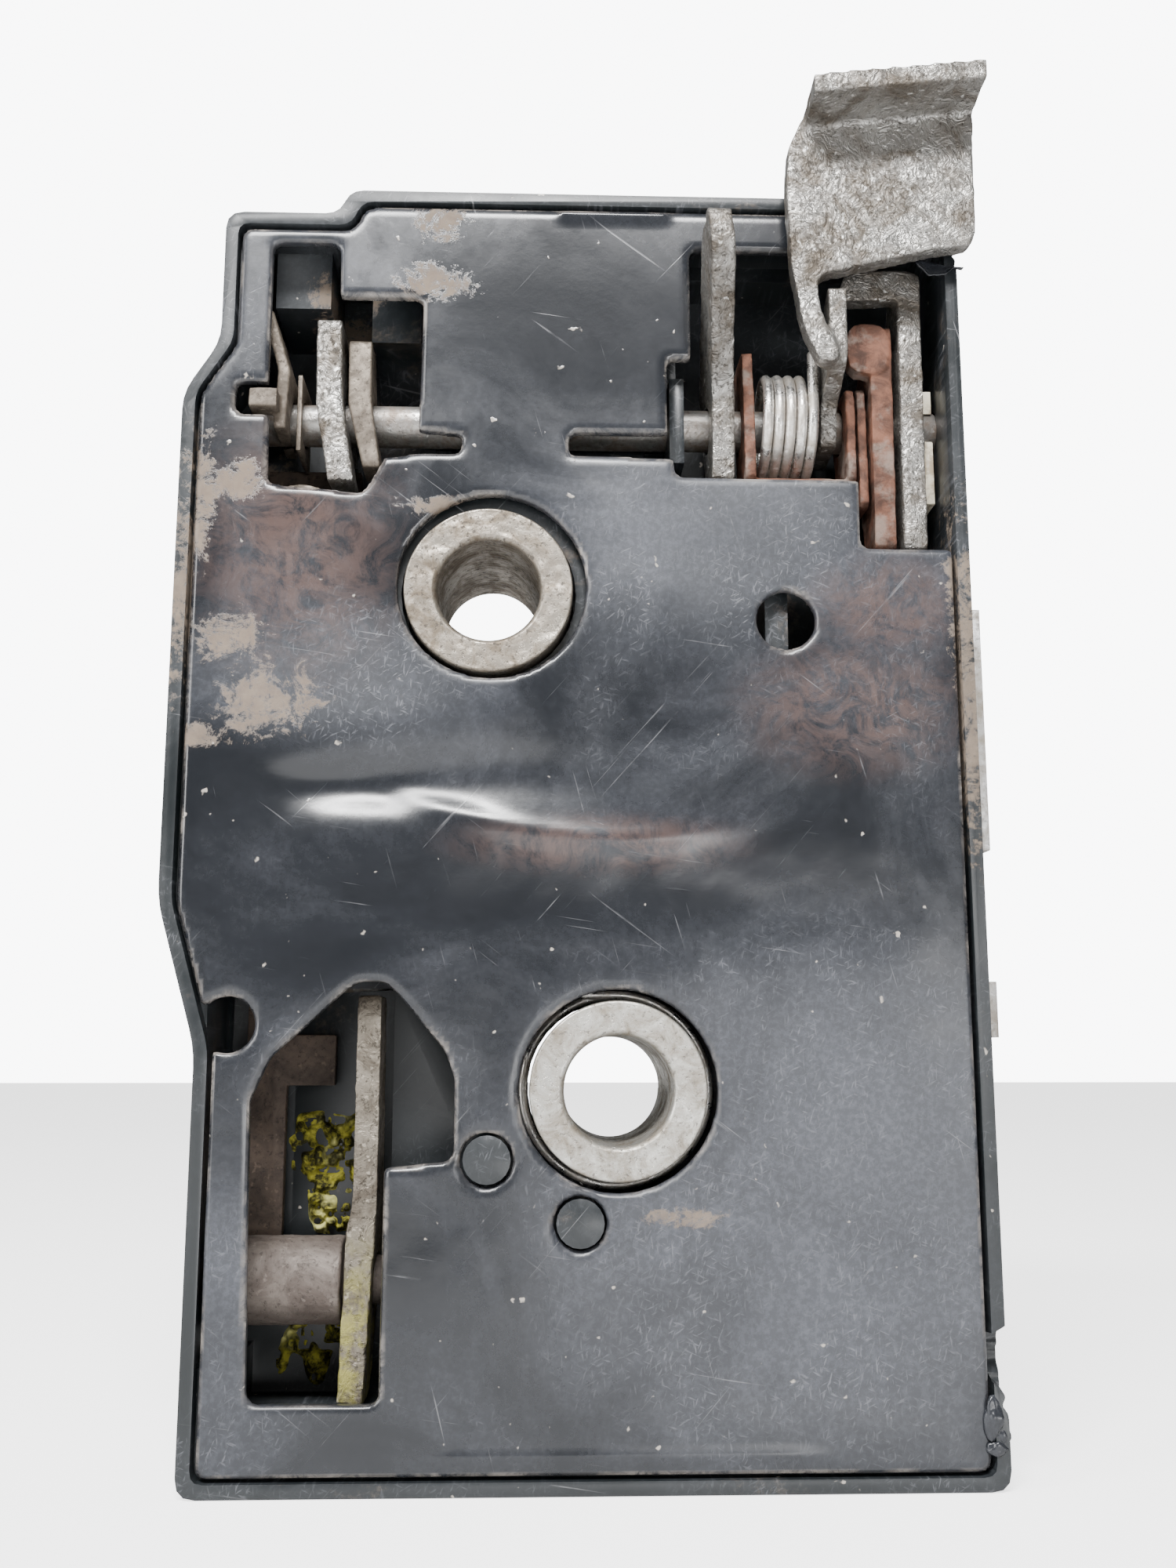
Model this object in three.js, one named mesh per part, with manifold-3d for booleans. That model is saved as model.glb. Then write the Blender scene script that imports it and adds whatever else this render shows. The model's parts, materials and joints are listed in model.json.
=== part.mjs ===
// Rotary door latch with its release and locking levers, in millimetres, +Z up.
// The steel latch plate stands in the plane y = 0 and the plastic rear cover faces -Y.
// The origin is on the outer face of the latch plate, near the middle of the case.
import * as THREE from "three";
import { mergeVertices } from "three/addons/utils/BufferGeometryUtils.js";
import Module from "manifold-3d";

// ---------------------------------------------------------------- driving dimensions

// Case outline, seen from the cover side.
const CASE_TOP = 55.2;
const CASE_BOTTOM = -55.4;
const CASE_RIGHT = 34.4;
const CASE_LEFT = -34.5;
const FOOT_LEFT = -31.0;
const SHOULDER_LEFT = -31.4;
const SHOULDER_TOP = 52.9;
const SHOULDER_BASE = 40.5;
const STEP_X = -20.4;
const STEP_RUN = 1.0;
const FLANK_TOP = 35.6;
const FLANK_BOTTOM = -9.0;
const TAPER_BOTTOM = -21.0;
const CASE_CORNER_R = 1.6;

// Layers, counted from the latch plate's outer face towards the cover.
const PLATE_T = 2.0;
const CHAMBER_T = 4.4;
const WEB_T = 1.1;
const POCKET_T = 6.9;
const COVER_T = 1.2;
const FLOOR_T = 1.0;
const RIM_W = 1.1;
const RIM_PROUD = 0.2;
const LEDGE_W = 1.1;
const GAP = 0.3;
const RUNNING_FIT = 0.2;

// Through sleeves for the fixing bolts.
const SLEEVE_R = 7.3;
const SLEEVE_BORE_R = 4.5;
const UPPER_SLEEVE = [-7.6, 18.0];
const LOWER_SLEEVE = [3.5, -24.4];
const COLLAR_WALL = 1.4;
const COVER_RING_GAP = 0.9;
const COVER_SLIP = [0.3, 0.4];

// Striker mouth and the lip of the latch plate beside it.
const MOUTH_Z = -9.0;
const MOUTH_W = 12.0;
const MOUTH_END_X = 4.5;
const MOUTH_DEPTH = 9.6;
const MOUTH_WALL = 1.0;
const LIP_REACH = 4.1;
const LIP_TOP = 20.0;
const LIP_BOTTOM = -20.0;
const LIP_FLANGE = 5.0;
const BUFFER_T = 2.4;

// Fork bolt, drawn latched and turned open by FORK_OPEN.
const FORK_R = 22.4;
const FORK_HUB_R = 12.6;
const FORK_T = 3.2;
const FORK_SLOT_W = 12.4;
const FORK_SLOT_X = 4.0;
const FORK_SECTOR = [32, 148];
const FORK_OPEN = 62;

// Pawl: a bell crank on the upper sleeve.
const PAWL_T = 3.0;
const PAWL_HUB_R = 10.2;
const PAWL_TIP_ANGLE = 147;
const PAWL_TIP_W = 5.0;
const PAWL_ROOM = 9.0;
const PAWL_EAR_X = 14.0;
const PAWL_EAR_Z = 22.0;
const EAR_ROOM = [2.2, 5.6];
const PAWL_ARM_END_X = 18.0;

// Lever shaft: one round rod across the case, which carries all the upper levers.
const ROD_Y = -9.6;
const ROD_Z = 35.5;
const ROD_R = 1.9;
const ROD_LEFT = -29.4;
const BRACKET_WALL = 0.8;
const GUIDE_LEFT = 31.9;

// Outside release lever with its flag.
const FLAG_T = 1.9;
const FLAG_RIGHT = 35.7;
const FLAG_CLEAR = 0.9;
const FLAG_TOP = 62.3;
const FLAG_RISE = 0.12;
const FLAG_SHELF = 4.8;
const NECK_BOTTOM = 38.0;
const WEB_X = 22.2;
const WEB_THICK = 1.6;
const INSIDE_LEAN = 0.1;

// Lower left key shaft.
const KEY_Y = -9.6;
const KEY_Z = -40.0;
const KEY_R = 3.6;
const KEY_CORE_R = 2.0;
const KEY_LEVER_T = 2.0;
const KEY_LEVER_X = -17.2;

// Lock link.
const LINK_T = 1.2;
const LINK_Y = -4.5;
const LINK_X = -26.9;
const LINK_W = 3.6;
const NOSE_W = 1.4;
const NOSE_H = 2.6;

// Return spring on the lever rod.
const WIRE_R = 0.49;
const COIL_R = 4.7;
const COIL_X = 16.85;
const COIL_TURNS = 4.5;
const COIL_PITCH = 1.02;

// Springs round the sleeves.
const SLEEVE_WIRE_R = 0.36;

// Rivets that hold the plate to the case.
const RIVET_R = 1.5;
const RIVET_HEAD_R = 3.0;
const RIVET_HEAD_T = 0.9;
const RIVETS = [
  [-21.6, 24.0],
  [1.5, 46.0],
  [29.0, -50.5],
  [-12.5, -50.5],
];

// Round posts of the housing that show flush in the cover.
const STAKE_R = 1.95;
const STAKES = [
  [-7.2, -29.9],
  [0.4, -34.9],
];

// Worked out from the layers.
const CHAMBER_BACK = -PLATE_T - GAP;
const CHAMBER_FRONT = CHAMBER_BACK - CHAMBER_T;
const POCKET_FLOOR = CHAMBER_FRONT - WEB_T;
const LEDGE_Y = POCKET_FLOOR - POCKET_T;
const COVER_BACK = LEDGE_Y - GAP;
const COVER_FRONT = COVER_BACK - COVER_T;
const RIM_FRONT = COVER_FRONT - RIM_PROUD;
const DEEP_FLOOR = CHAMBER_BACK - FLOOR_T;
const FORK_BACK = CHAMBER_BACK - (CHAMBER_T - FORK_T) / 2;
const PAWL_BACK = CHAMBER_BACK - (CHAMBER_T - PAWL_T) / 2;
const FLAG_Y = RIM_FRONT - FLAG_CLEAR - FLAG_T;

// ---------------------------------------------------------------- solids and outlines

const wasm = await Module();
wasm.setup();

// A closed geometry as a manifold solid.
function solid(geometry) {
  const bare = geometry.index ? geometry.toNonIndexed() : geometry.clone();
  bare.deleteAttribute("normal");
  bare.deleteAttribute("uv");
  const merged = mergeVertices(bare, 1e-4);
  return new wasm.Manifold(
    new wasm.Mesh({
      numProp: 3,
      vertProperties: new Float32Array(merged.attributes.position.array),
      triVerts: new Uint32Array(merged.index.array),
    }),
  );
}

function cut(body, ...tools) {
  return tools.reduce((rest, tool) => rest.subtract(tool), body);
}

function join(body, ...more) {
  return more.reduce((sum, piece) => sum.add(piece), body);
}

// Straight outline through the given points.
function outline(points) {
  return new THREE.Shape(points.map(([u, v]) => new THREE.Vector2(u, v)));
}

// Outline with every corner rounded to the same radius, less where an edge is short.
function rounded(points, radius) {
  const shape = new THREE.Shape();
  points.forEach((point, i) => {
    const corner = new THREE.Vector2(...point);
    const before = new THREE.Vector2(...points.at(i - 1));
    const after = new THREE.Vector2(...points[(i + 1) % points.length]);
    const run = Math.min(radius, corner.distanceTo(before) / 2.1, corner.distanceTo(after) / 2.1);
    const into = corner.clone().lerp(before, run / corner.distanceTo(before));
    const out = corner.clone().lerp(after, run / corner.distanceTo(after));
    if (i === 0) shape.moveTo(into.x, into.y);
    else shape.lineTo(into.x, into.y);
    shape.quadraticCurveTo(corner.x, corner.y, out.x, out.y);
  });
  shape.closePath();
  return shape;
}

function extrude(shape, depth, curveSegments = 3) {
  return new THREE.ExtrudeGeometry(shape, { depth, bevelEnabled: false, curveSegments });
}

// An (x, z) outline, from y = front up to y = back.
function prism(shape, front, back) {
  const geometry = extrude(shape, back - front);
  geometry.rotateX(Math.PI / 2);
  geometry.translate(0, back, 0);
  return solid(geometry);
}

// A (y, z) outline, from x = left to x = right.
function slab(shape, left, right) {
  const geometry = extrude(shape, right - left);
  const axes = [new THREE.Vector3(0, 1, 0), new THREE.Vector3(0, 0, 1), new THREE.Vector3(1, 0, 0)];
  geometry.applyMatrix4(new THREE.Matrix4().makeBasis(...axes));
  geometry.translate(left, 0, 0);
  return solid(geometry);
}

function box(x0, x1, y0, y1, z0, z1) {
  const geometry = new THREE.BoxGeometry(x1 - x0, y1 - y0, z1 - z0);
  geometry.translate((x0 + x1) / 2, (y0 + y1) / 2, (z0 + z1) / 2);
  return solid(geometry);
}

// Round bar along Y at (x, z).
function barY(radius, front, back, [x, z], sides = 32) {
  const geometry = new THREE.CylinderGeometry(radius, radius, back - front, sides);
  geometry.translate(x, (front + back) / 2, z);
  return solid(geometry);
}

// Round bar along X at (y, z).
function barX(radius, left, right, y, z, sides = 24) {
  const geometry = new THREE.CylinderGeometry(radius, radius, right - left, sides);
  geometry.rotateZ(Math.PI / 2);
  geometry.translate((left + right) / 2, y, z);
  return solid(geometry);
}

function onRod(radius, left, right) {
  return barX(radius, left, right, ROD_Y, ROD_Z);
}

// Leans a solid sideways above a level: x moves by slope for each millimetre of height.
function lean(body, slope, level) {
  return body.warp((v) => {
    v[0] += slope * Math.max(0, v[2] - level);
  });
}

const root = new THREE.Group();

function addMesh(name, geometry, colour, roughness, metalness) {
  const material = new THREE.MeshStandardMaterial({ color: colour, roughness, metalness });
  const mesh = new THREE.Mesh(geometry, material);
  mesh.name = name;
  root.add(mesh);
  return mesh;
}

function addSolid(name, body, colour, roughness, metalness) {
  const { vertProperties, triVerts } = body.getMesh();
  const geometry = new THREE.BufferGeometry();
  geometry.setAttribute("position", new THREE.BufferAttribute(vertProperties, 3));
  geometry.setIndex(new THREE.BufferAttribute(triVerts, 1));
  return addMesh(name, geometry, colour, roughness, metalness);
}

// ---------------------------------------------------------------- case

function caseOutline(inset) {
  const points = [
    [FOOT_LEFT + inset, CASE_BOTTOM + inset],
    [CASE_RIGHT - inset, CASE_BOTTOM + inset],
    [CASE_RIGHT - inset, CASE_TOP - inset],
    [STEP_X + inset, CASE_TOP - inset],
    [STEP_X - STEP_RUN + inset, SHOULDER_TOP - inset],
    [SHOULDER_LEFT + inset, SHOULDER_TOP - inset],
    [SHOULDER_LEFT + inset, SHOULDER_BASE],
    [CASE_LEFT + inset, FLANK_TOP],
    [CASE_LEFT + inset, FLANK_BOTTOM],
    [FOOT_LEFT + inset, TAPER_BOTTOM],
  ];
  return rounded(points, Math.max(CASE_CORNER_R - inset / 2, 0.6));
}

// A point at an angle, counted from +X towards +Z, round a centre.
function around([x, z], radius, degrees) {
  const angle = THREE.MathUtils.degToRad(degrees);
  return [x + radius * Math.cos(angle), z + radius * Math.sin(angle)];
}

function sector(centre, inner, outer, from, to, steps = 10) {
  const rim = [];
  for (let i = 0; i <= steps; i += 1) {
    rim.push(around(centre, outer, from + ((to - from) * i) / steps));
  }
  return outline([around(centre, inner, from), ...rim, around(centre, inner, to)]);
}

const mouthTop = MOUTH_Z + MOUTH_W / 2;
const mouthBottom = MOUTH_Z - MOUTH_W / 2;
const lipX = CASE_RIGHT + LIP_REACH;
const pawlTip = around(LOWER_SLEEVE, FORK_R + 0.6, PAWL_TIP_ANGLE);

// Deep wells of the lever pockets, which reach down to the plate side.
const TOP_LEFT_WELL = [-29.6, -14.2, 28.4, 51.0];
const TOP_RIGHT_WELL = [9.6, CASE_RIGHT - RIM_W, 28.6, 51.6];
const KEY_WELL = [-27.6, -15.6, -50.2, -15.8];
const TAIL_WELL = [24.9, CASE_RIGHT - RIM_W, 21.4, 30.0];
const LINK_WELL = [-30.4, -24.6, -46.0, 32.0];

function well([x0, x1, z0, z1]) {
  return box(x0, x1, LEDGE_Y - 1, DEEP_FLOOR, z0, z1);
}

// Room behind the web for the fork bolt, the pawl and the striker.
function chamberTools() {
  const [px, pz] = UPPER_SLEEVE;
  const sweep = [
    [px - 7.0, pz],
    [pawlTip[0] - PAWL_ROOM, pawlTip[1] + 6.0],
    [pawlTip[0] - PAWL_ROOM, pawlTip[1] - 4.4],
    [pawlTip[0] + 9.0, pawlTip[1] - 3.4],
    [px + 7.0, pz],
  ];
  const arm = [
    [px, pz + PAWL_HUB_R],
    [PAWL_ARM_END_X + 1.4, pz + 9.4],
    [PAWL_ARM_END_X + 1.4, pz - 5.4],
    [px, pz - PAWL_HUB_R],
  ];
  return [
    prism(sector(LOWER_SLEEVE, 0, FORK_R + 0.8, -32, FORK_SECTOR[1] + 4, 14), CHAMBER_FRONT, 0),
    barY(FORK_HUB_R + 1.2, CHAMBER_FRONT, 0, LOWER_SLEEVE),
    barY(PAWL_HUB_R + 1.0, CHAMBER_FRONT, 0, UPPER_SLEEVE),
    prism(outline(sweep), CHAMBER_FRONT, 0),
    prism(outline(arm), CHAMBER_FRONT, 0),
    box(MOUTH_END_X - BUFFER_T - GAP, lipX, -MOUTH_DEPTH, 0, mouthBottom, mouthTop),
  ];
}

function housing() {
  const shell = prism(caseOutline(0), RIM_FRONT, CHAMBER_BACK);
  const seat = prism(caseOutline(RIM_W), RIM_FRONT - 1, LEDGE_Y);
  const pocket = prism(caseOutline(RIM_W + LEDGE_W), LEDGE_Y - 1, POCKET_FLOOR);
  const collar = barY(SLEEVE_R + GAP + COLLAR_WALL, LEDGE_Y, POCKET_FLOOR + 0.1, UPPER_SLEEVE);
  const tray = box(
    MOUTH_END_X - BUFFER_T - MOUTH_WALL - GAP,
    CASE_RIGHT - RIM_W,
    -MOUTH_DEPTH - MOUTH_WALL,
    POCKET_FLOOR + 0.1,
    mouthBottom - MOUTH_WALL,
    mouthTop + MOUTH_WALL,
  );
  const ribs = [-12.8, 6.6].map((x) => box(x, x + 1.6, LEDGE_Y + 0.4, POCKET_FLOOR + 0.1, 33.6, 52.6));
  const posts = STAKES.map((at) => barY(STAKE_R, COVER_FRONT, POCKET_FLOOR + 0.1, at, 20));
  const moulding = box(-27.4, -22.4, -12.6, DEEP_FLOOR + 0.1, 45.6, 52.0);
  const swingRecess = cut(
    box(-18.6, -14.1, -12.4, DEEP_FLOOR + 0.1, 29.3, 47.4),
    onRod(7.6, -19, -13),
  );
  const snapBlock = box(8.4, 9.7, LEDGE_Y + 0.6, POCKET_FLOOR + 0.1, 30.6, 38.6);
  const boss = box(16.6, 18.6, LEDGE_Y + 0.3, POCKET_FLOOR + 0.1, 12.6, 18.6);
  const wells = [TOP_LEFT_WELL, TOP_RIGHT_WELL, TAIL_WELL, KEY_WELL, LINK_WELL].map(well);
  const hollow = cut(shell, seat, pocket, ...wells);
  const built = join(hollow, collar, tray, ...ribs, ...posts, moulding, swingRecess, snapBlock, boss);
  const sleeveHoles = [UPPER_SLEEVE, LOWER_SLEEVE].map((at) =>
    barY(SLEEVE_R + GAP, RIM_FRONT - 1, 1, at),
  );
  const earWindow = box(
    PAWL_EAR_X - EAR_ROOM[0],
    PAWL_EAR_X + EAR_ROOM[0],
    POCKET_FLOOR - 1,
    CHAMBER_FRONT + 0.1,
    PAWL_EAR_Z - EAR_ROOM[1],
    PAWL_EAR_Z + EAR_ROOM[1],
  );
  const rodHole = onRod(ROD_R + RUNNING_FIT, ROD_LEFT - 0.5, CASE_RIGHT - RIM_W / 2);
  const seatR = ROD_R + RUNNING_FIT;
  const rodSlots = box(-12.9, 8.3, LEDGE_Y - 1, ROD_Y, ROD_Z - seatR, ROD_Z + seatR);
  const keyBore = barX(KEY_R + RUNNING_FIT, -30.2, -25, KEY_Y, KEY_Z);
  const rivetHoles = RIVETS.map((at) => barY(RIVET_R + GAP, -9.2, 0, at, 16));
  return cut(
    built,
    ...chamberTools(),
    ...sleeveHoles,
    earWindow,
    rodHole,
    rodSlots,
    keyBore,
    ...rivetHoles,
  );
}

function coverOpenings() {
  const left = [
    [-27.2, 50.2],
    [-27.2, 36.9],
    [-30.0, 36.9],
    [-30.0, 33.9],
    [-27.0, 33.9],
    [-26.9, 27.4],
    [-18.6, 26.7],
    [-16.8, 30.0],
    [-13.6, 30.4],
    [-10.1, 30.4],
    [-10.1, 32.3],
    [-13.9, 32.4],
    [-13.7, 45.0],
    [-21.1, 45.0],
    [-21.2, 50.2],
  ];
  const past = CASE_RIGHT + 2;
  const right = [
    [10.2, 50.1],
    [10.2, 39.5],
    [8.0, 39.5],
    [8.0, 32.4],
    [-0.7, 32.4],
    [-0.7, 30.3],
    [8.6, 30.2],
    [8.6, 28.5],
    [24.9, 28.4],
    [24.9, 22.2],
    [past, 22.2],
    [past, 50.1],
  ];
  const key = [
    [-25.9, -48.6],
    [-15.5, -48.6],
    [-15.5, -30.5],
    [-9.9, -30.0],
    [-9.9, -23.4],
    [-10.7, -21.2],
    [-14.6, -16.6],
    [-15.8, -15.6],
    [-17.8, -15.6],
    [-19.0, -16.4],
    [-24.9, -21.8],
    [-26.4, -25.2],
  ];
  const [ux, uz] = UPPER_SLEEVE;
  const slipped = [ux + COVER_SLIP[0], uz + COVER_SLIP[1]];
  const through = (shape) => prism(shape, COVER_FRONT - 1, COVER_BACK + 1);
  const hole = (radius, at) => barY(radius, COVER_FRONT - 1, COVER_BACK + 1, at);
  return [
    through(outline([...left].reverse())),
    through(outline([...right].reverse())),
    through(outline(key)),
    hole(SLEEVE_R + COVER_RING_GAP, slipped),
    hole(SLEEVE_R + COVER_RING_GAP, LOWER_SLEEVE),
    hole(2.6, [18.2, 15.6]),
    hole(2.3, [-28.5, -19.1]),
    ...STAKES.map((at) => hole(STAKE_R + RUNNING_FIT, at)),
  ];
}

function rearCover() {
  const sheet = prism(caseOutline(RIM_W + GAP), COVER_FRONT, COVER_BACK);
  const bumpTop = CASE_TOP - RIM_W - 0.4;
  const bumpShape = [
    [-1.4, bumpTop - 0.7],
    [8.2, bumpTop - 0.7],
    [8.2, bumpTop],
    [-1.4, bumpTop],
  ];
  const bump = prism(rounded(bumpShape, 0.3), RIM_FRONT, COVER_BACK - 0.2);
  return cut(join(sheet, bump), ...coverOpenings());
}

function latchPlate() {
  const face = prism(caseOutline(0.4), -PLATE_T, 0);
  const lip = box(CASE_RIGHT - 4, lipX, -PLATE_T, 0, LIP_BOTTOM, LIP_TOP);
  const flange = box(lipX - PLATE_T, lipX, -LIP_FLANGE, 0, LIP_BOTTOM, LIP_TOP);
  const mouth = join(
    box(MOUTH_END_X + MOUTH_W / 2, lipX + 1, -LIP_FLANGE - 1, 1, mouthBottom, mouthTop),
    barY(MOUTH_W / 2, -LIP_FLANGE, 1, [MOUTH_END_X + MOUTH_W / 2, MOUTH_Z]),
  );
  const sleeveHoles = [UPPER_SLEEVE, LOWER_SLEEVE].map((at) => barY(SLEEVE_R + GAP, -5, 1, at));
  const rivetHoles = RIVETS.map((at) => barY(RIVET_R + GAP, -5, 1, at, 16));
  const rivetSeats = RIVETS.map((at) => barY(RIVET_HEAD_R + GAP, -RIVET_HEAD_T - GAP, 1, at, 20));
  return cut(join(face, lip, flange), mouth, ...sleeveHoles, ...rivetHoles, ...rivetSeats);
}

function sleeve(at) {
  return cut(barY(SLEEVE_R, RIM_FRONT, 0, at), barY(SLEEVE_BORE_R, RIM_FRONT - 1, 1, at));
}

function rivet(at) {
  const head = barY(RIVET_HEAD_R, -RIVET_HEAD_T, 0, at, 20);
  return join(head, barY(RIVET_R, -9, -RIVET_HEAD_T / 2, at, 16));
}

// Rubber block that stops the striker at the end of the mouth.
function strikerBuffer() {
  const x0 = MOUTH_END_X - BUFFER_T;
  return box(x0, MOUTH_END_X - 0.1, -MOUTH_DEPTH + GAP, CHAMBER_FRONT - 0.2, mouthBottom + 1, mouthTop - 1);
}

// ---------------------------------------------------------------- fork bolt and pawl

// Drawn latched, about its own pivot; the mesh is then turned to the open position.
function forkBolt() {
  const here = [0, 0];
  const front = -FORK_T;
  const jaws = prism(sector(here, 0, FORK_R, ...FORK_SECTOR, 12), front, 0);
  const hub = barY(FORK_HUB_R, front, 0, here);
  const slotBottom = MOUTH_Z - LOWER_SLEEVE[1];
  const slotHalf = FORK_SLOT_W / 2;
  const slot = join(
    barY(slotHalf, front - 1, 1, [FORK_SLOT_X, slotBottom], 24),
    box(FORK_SLOT_X - slotHalf, FORK_SLOT_X + slotHalf, front - 1, 1, slotBottom, FORK_R + 2),
  );
  const notch = prism(
    outline([
      around(here, FORK_R - 5.2, PAWL_TIP_ANGLE + 8),
      around(here, FORK_R + 2, PAWL_TIP_ANGLE + 8),
      around(here, FORK_R + 2, PAWL_TIP_ANGLE - 16),
      around(here, FORK_R - 5.2, PAWL_TIP_ANGLE - 12),
    ].reverse()),
    front - 1,
    1,
  );
  return cut(join(jaws, hub), slot, notch, barY(SLEEVE_R + RUNNING_FIT, front - 1, 1, here));
}

function pawl() {
  const front = PAWL_BACK - PAWL_T;
  const [px, pz] = UPPER_SLEEVE;
  const [tx, tz] = pawlTip;
  const hub = barY(PAWL_HUB_R, front, PAWL_BACK, UPPER_SLEEVE);
  const arm = prism(
    outline([
      [px - 7.4, pz - 2],
      [tx - PAWL_TIP_W + 1.2, tz + 4],
      [tx - PAWL_TIP_W + 1.6, tz - 1.2],
      [tx - 0.2, tz - 0.6],
      [tx + 1.4, tz + 3.4],
      [px + 5.0, pz - 6],
    ]),
    front,
    PAWL_BACK,
  );
  const rightArm = prism(
    outline([
      [px, pz + 1.2],
      [px + 4, pz - 5],
      [PAWL_ARM_END_X, PAWL_EAR_Z - 3.6],
      [PAWL_ARM_END_X, PAWL_EAR_Z + 1.8],
      [px, pz + 8.6],
    ]),
    front,
    PAWL_BACK,
  );
  const ear = box(
    PAWL_EAR_X - 1.2,
    PAWL_EAR_X + 1.2,
    POCKET_FLOOR - 2.6,
    PAWL_BACK - 0.4,
    PAWL_EAR_Z - 2.2,
    PAWL_EAR_Z + 1.6,
  );
  return cut(join(hub, arm, rightArm, ear), barY(SLEEVE_R + RUNNING_FIT, -9, 0, UPPER_SLEEVE));
}

// ---------------------------------------------------------------- springs

// A wire that follows a function of one parameter from 0 to 1.
class WirePath extends THREE.Curve {
  constructor(place) {
    super();
    this.place = place;
  }
  getPoint(t, target = new THREE.Vector3()) {
    return target.set(...this.place(t));
  }
}

function wire(place, radius, steps) {
  const section = new THREE.Shape();
  for (let i = 0; i < 8; i += 1) {
    const angle = (i / 8) * 2 * Math.PI;
    const [u, v] = [radius * Math.cos(angle), radius * Math.sin(angle)];
    if (i === 0) section.moveTo(u, v);
    else section.lineTo(u, v);
  }
  section.closePath();
  return new THREE.ExtrudeGeometry(section, {
    steps,
    extrudePath: new WirePath(place),
    bevelEnabled: false,
  });
}

// Torsion spring: a coil with a straight leg off each end, both along the tangent.
// frame turns (along the axis, across, up) into x, y, z.
function torsionSpring({ radius, wireRadius, turns, pitch, startAngle, legs, frame, steps }) {
  const legShare = 0.12;
  const place = (t) => {
    const s = THREE.MathUtils.clamp((t - legShare) / (1 - 2 * legShare), 0, 1);
    const angle = startAngle + s * turns * 2 * Math.PI;
    const along = s * turns * pitch;
    const u = radius * Math.cos(angle);
    const v = radius * Math.sin(angle);
    let reach = 0;
    if (t < legShare) reach = (-(legShare - t) / legShare) * legs[0];
    if (t > 1 - legShare) reach = ((t - 1 + legShare) / legShare) * legs[1];
    return frame(along, u - reach * Math.sin(angle), v + reach * Math.cos(angle));
  };
  return wire(place, wireRadius, steps);
}

function returnSpring() {
  return torsionSpring({
    radius: COIL_R,
    wireRadius: WIRE_R,
    turns: COIL_TURNS,
    pitch: COIL_PITCH,
    startAngle: 0,
    legs: [7.5, 6.0],
    frame: (along, u, v) => [COIL_X + along, ROD_Y + u, ROD_Z - v],
    steps: 92,
  });
}

// Coil in the lever pocket round a sleeve or its collar.
function sleeveSpring([x, z], radius, turns, startAngle, legs) {
  return torsionSpring({
    radius,
    wireRadius: SLEEVE_WIRE_R,
    turns,
    pitch: 2.6 * SLEEVE_WIRE_R,
    startAngle,
    legs,
    frame: (along, u, v) => [x + u, POCKET_FLOOR - 1.0 - along, z + v],
    steps: 56,
  });
}

// ---------------------------------------------------------------- levers on the rod

function boreOnRod(left, right) {
  return onRod(ROD_R + RUNNING_FIT, left - 2, right + 2);
}

// A point in the (y, z) plane of the rod.
function fromRod(y, z) {
  return [ROD_Y + y, ROD_Z + z];
}

function insideLever() {
  const shape = rounded(
    [
      fromRod(-3.6, -6.4),
      fromRod(1.2, -6.4),
      fromRod(4.2, 0),
      fromRod(2.6, 4.4),
      fromRod(-9.2, 14.0),
      fromRod(-14.6, 14.4),
      fromRod(-14.9, 11.0),
      fromRod(-5.0, 1.5),
    ],
    1.0,
  );
  const blade = lean(slab(shape, 12.3, 14.4), -INSIDE_LEAN, ROD_Z);
  return cut(blade, boreOnRod(12, 15));
}

function outsideLever() {
  const flagBack = FLAG_Y + FLAG_T;
  const web = slab(
    rounded(
      [
        fromRod(-3.4, -2.6),
        fromRod(-3.8, 1.0),
        [FLAG_Y + 0.4, NECK_BOTTOM + 0.6],
        [FLAG_Y + 0.4, NECK_BOTTOM + 7.4],
        [flagBack, NECK_BOTTOM + 7.4],
        fromRod(3.6, 2.4),
        fromRod(3.4, -2.6),
      ],
      0.8,
    ),
    WEB_X,
    WEB_X + WEB_THICK,
  );
  const upright = cut(web, boreOnRod(WEB_X, WEB_X + WEB_THICK));
  const flagShape = [
    [WEB_X - 0.9, NECK_BOTTOM],
    [WEB_X + WEB_THICK - 0.6, NECK_BOTTOM + 0.4],
    [21.4, 43.0],
    [21.2, 46.3],
    [31.5, 48.9],
    [34.9, 49.4],
    [FLAG_RIGHT - 0.2, 50.5],
    [FLAG_RIGHT, FLAG_TOP + FLAG_RISE * (FLAG_RIGHT - 20)],
    [20.6, FLAG_TOP],
    [18.8, 58.6],
    [18.6, 54.5],
    [18.9, 47.0],
    [19.8, 41.4],
  ];
  const flag = prism(rounded(flagShape, 1.0), FLAG_Y, flagBack);
  const shelfShape = [
    [flagBack, FLAG_TOP - 1.9],
    [flagBack, FLAG_TOP],
    [FLAG_Y - FLAG_SHELF, FLAG_TOP + 0.2],
    [FLAG_Y - FLAG_SHELF, FLAG_TOP - 1.6],
    [FLAG_Y, FLAG_TOP - 1.8],
  ];
  const shelf = slab(outline(shelfShape), 20.4, FLAG_RIGHT).warp((v) => {
    v[2] += FLAG_RISE * (v[0] - 20);
  });
  return join(upright, flag, shelf);
}

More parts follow.
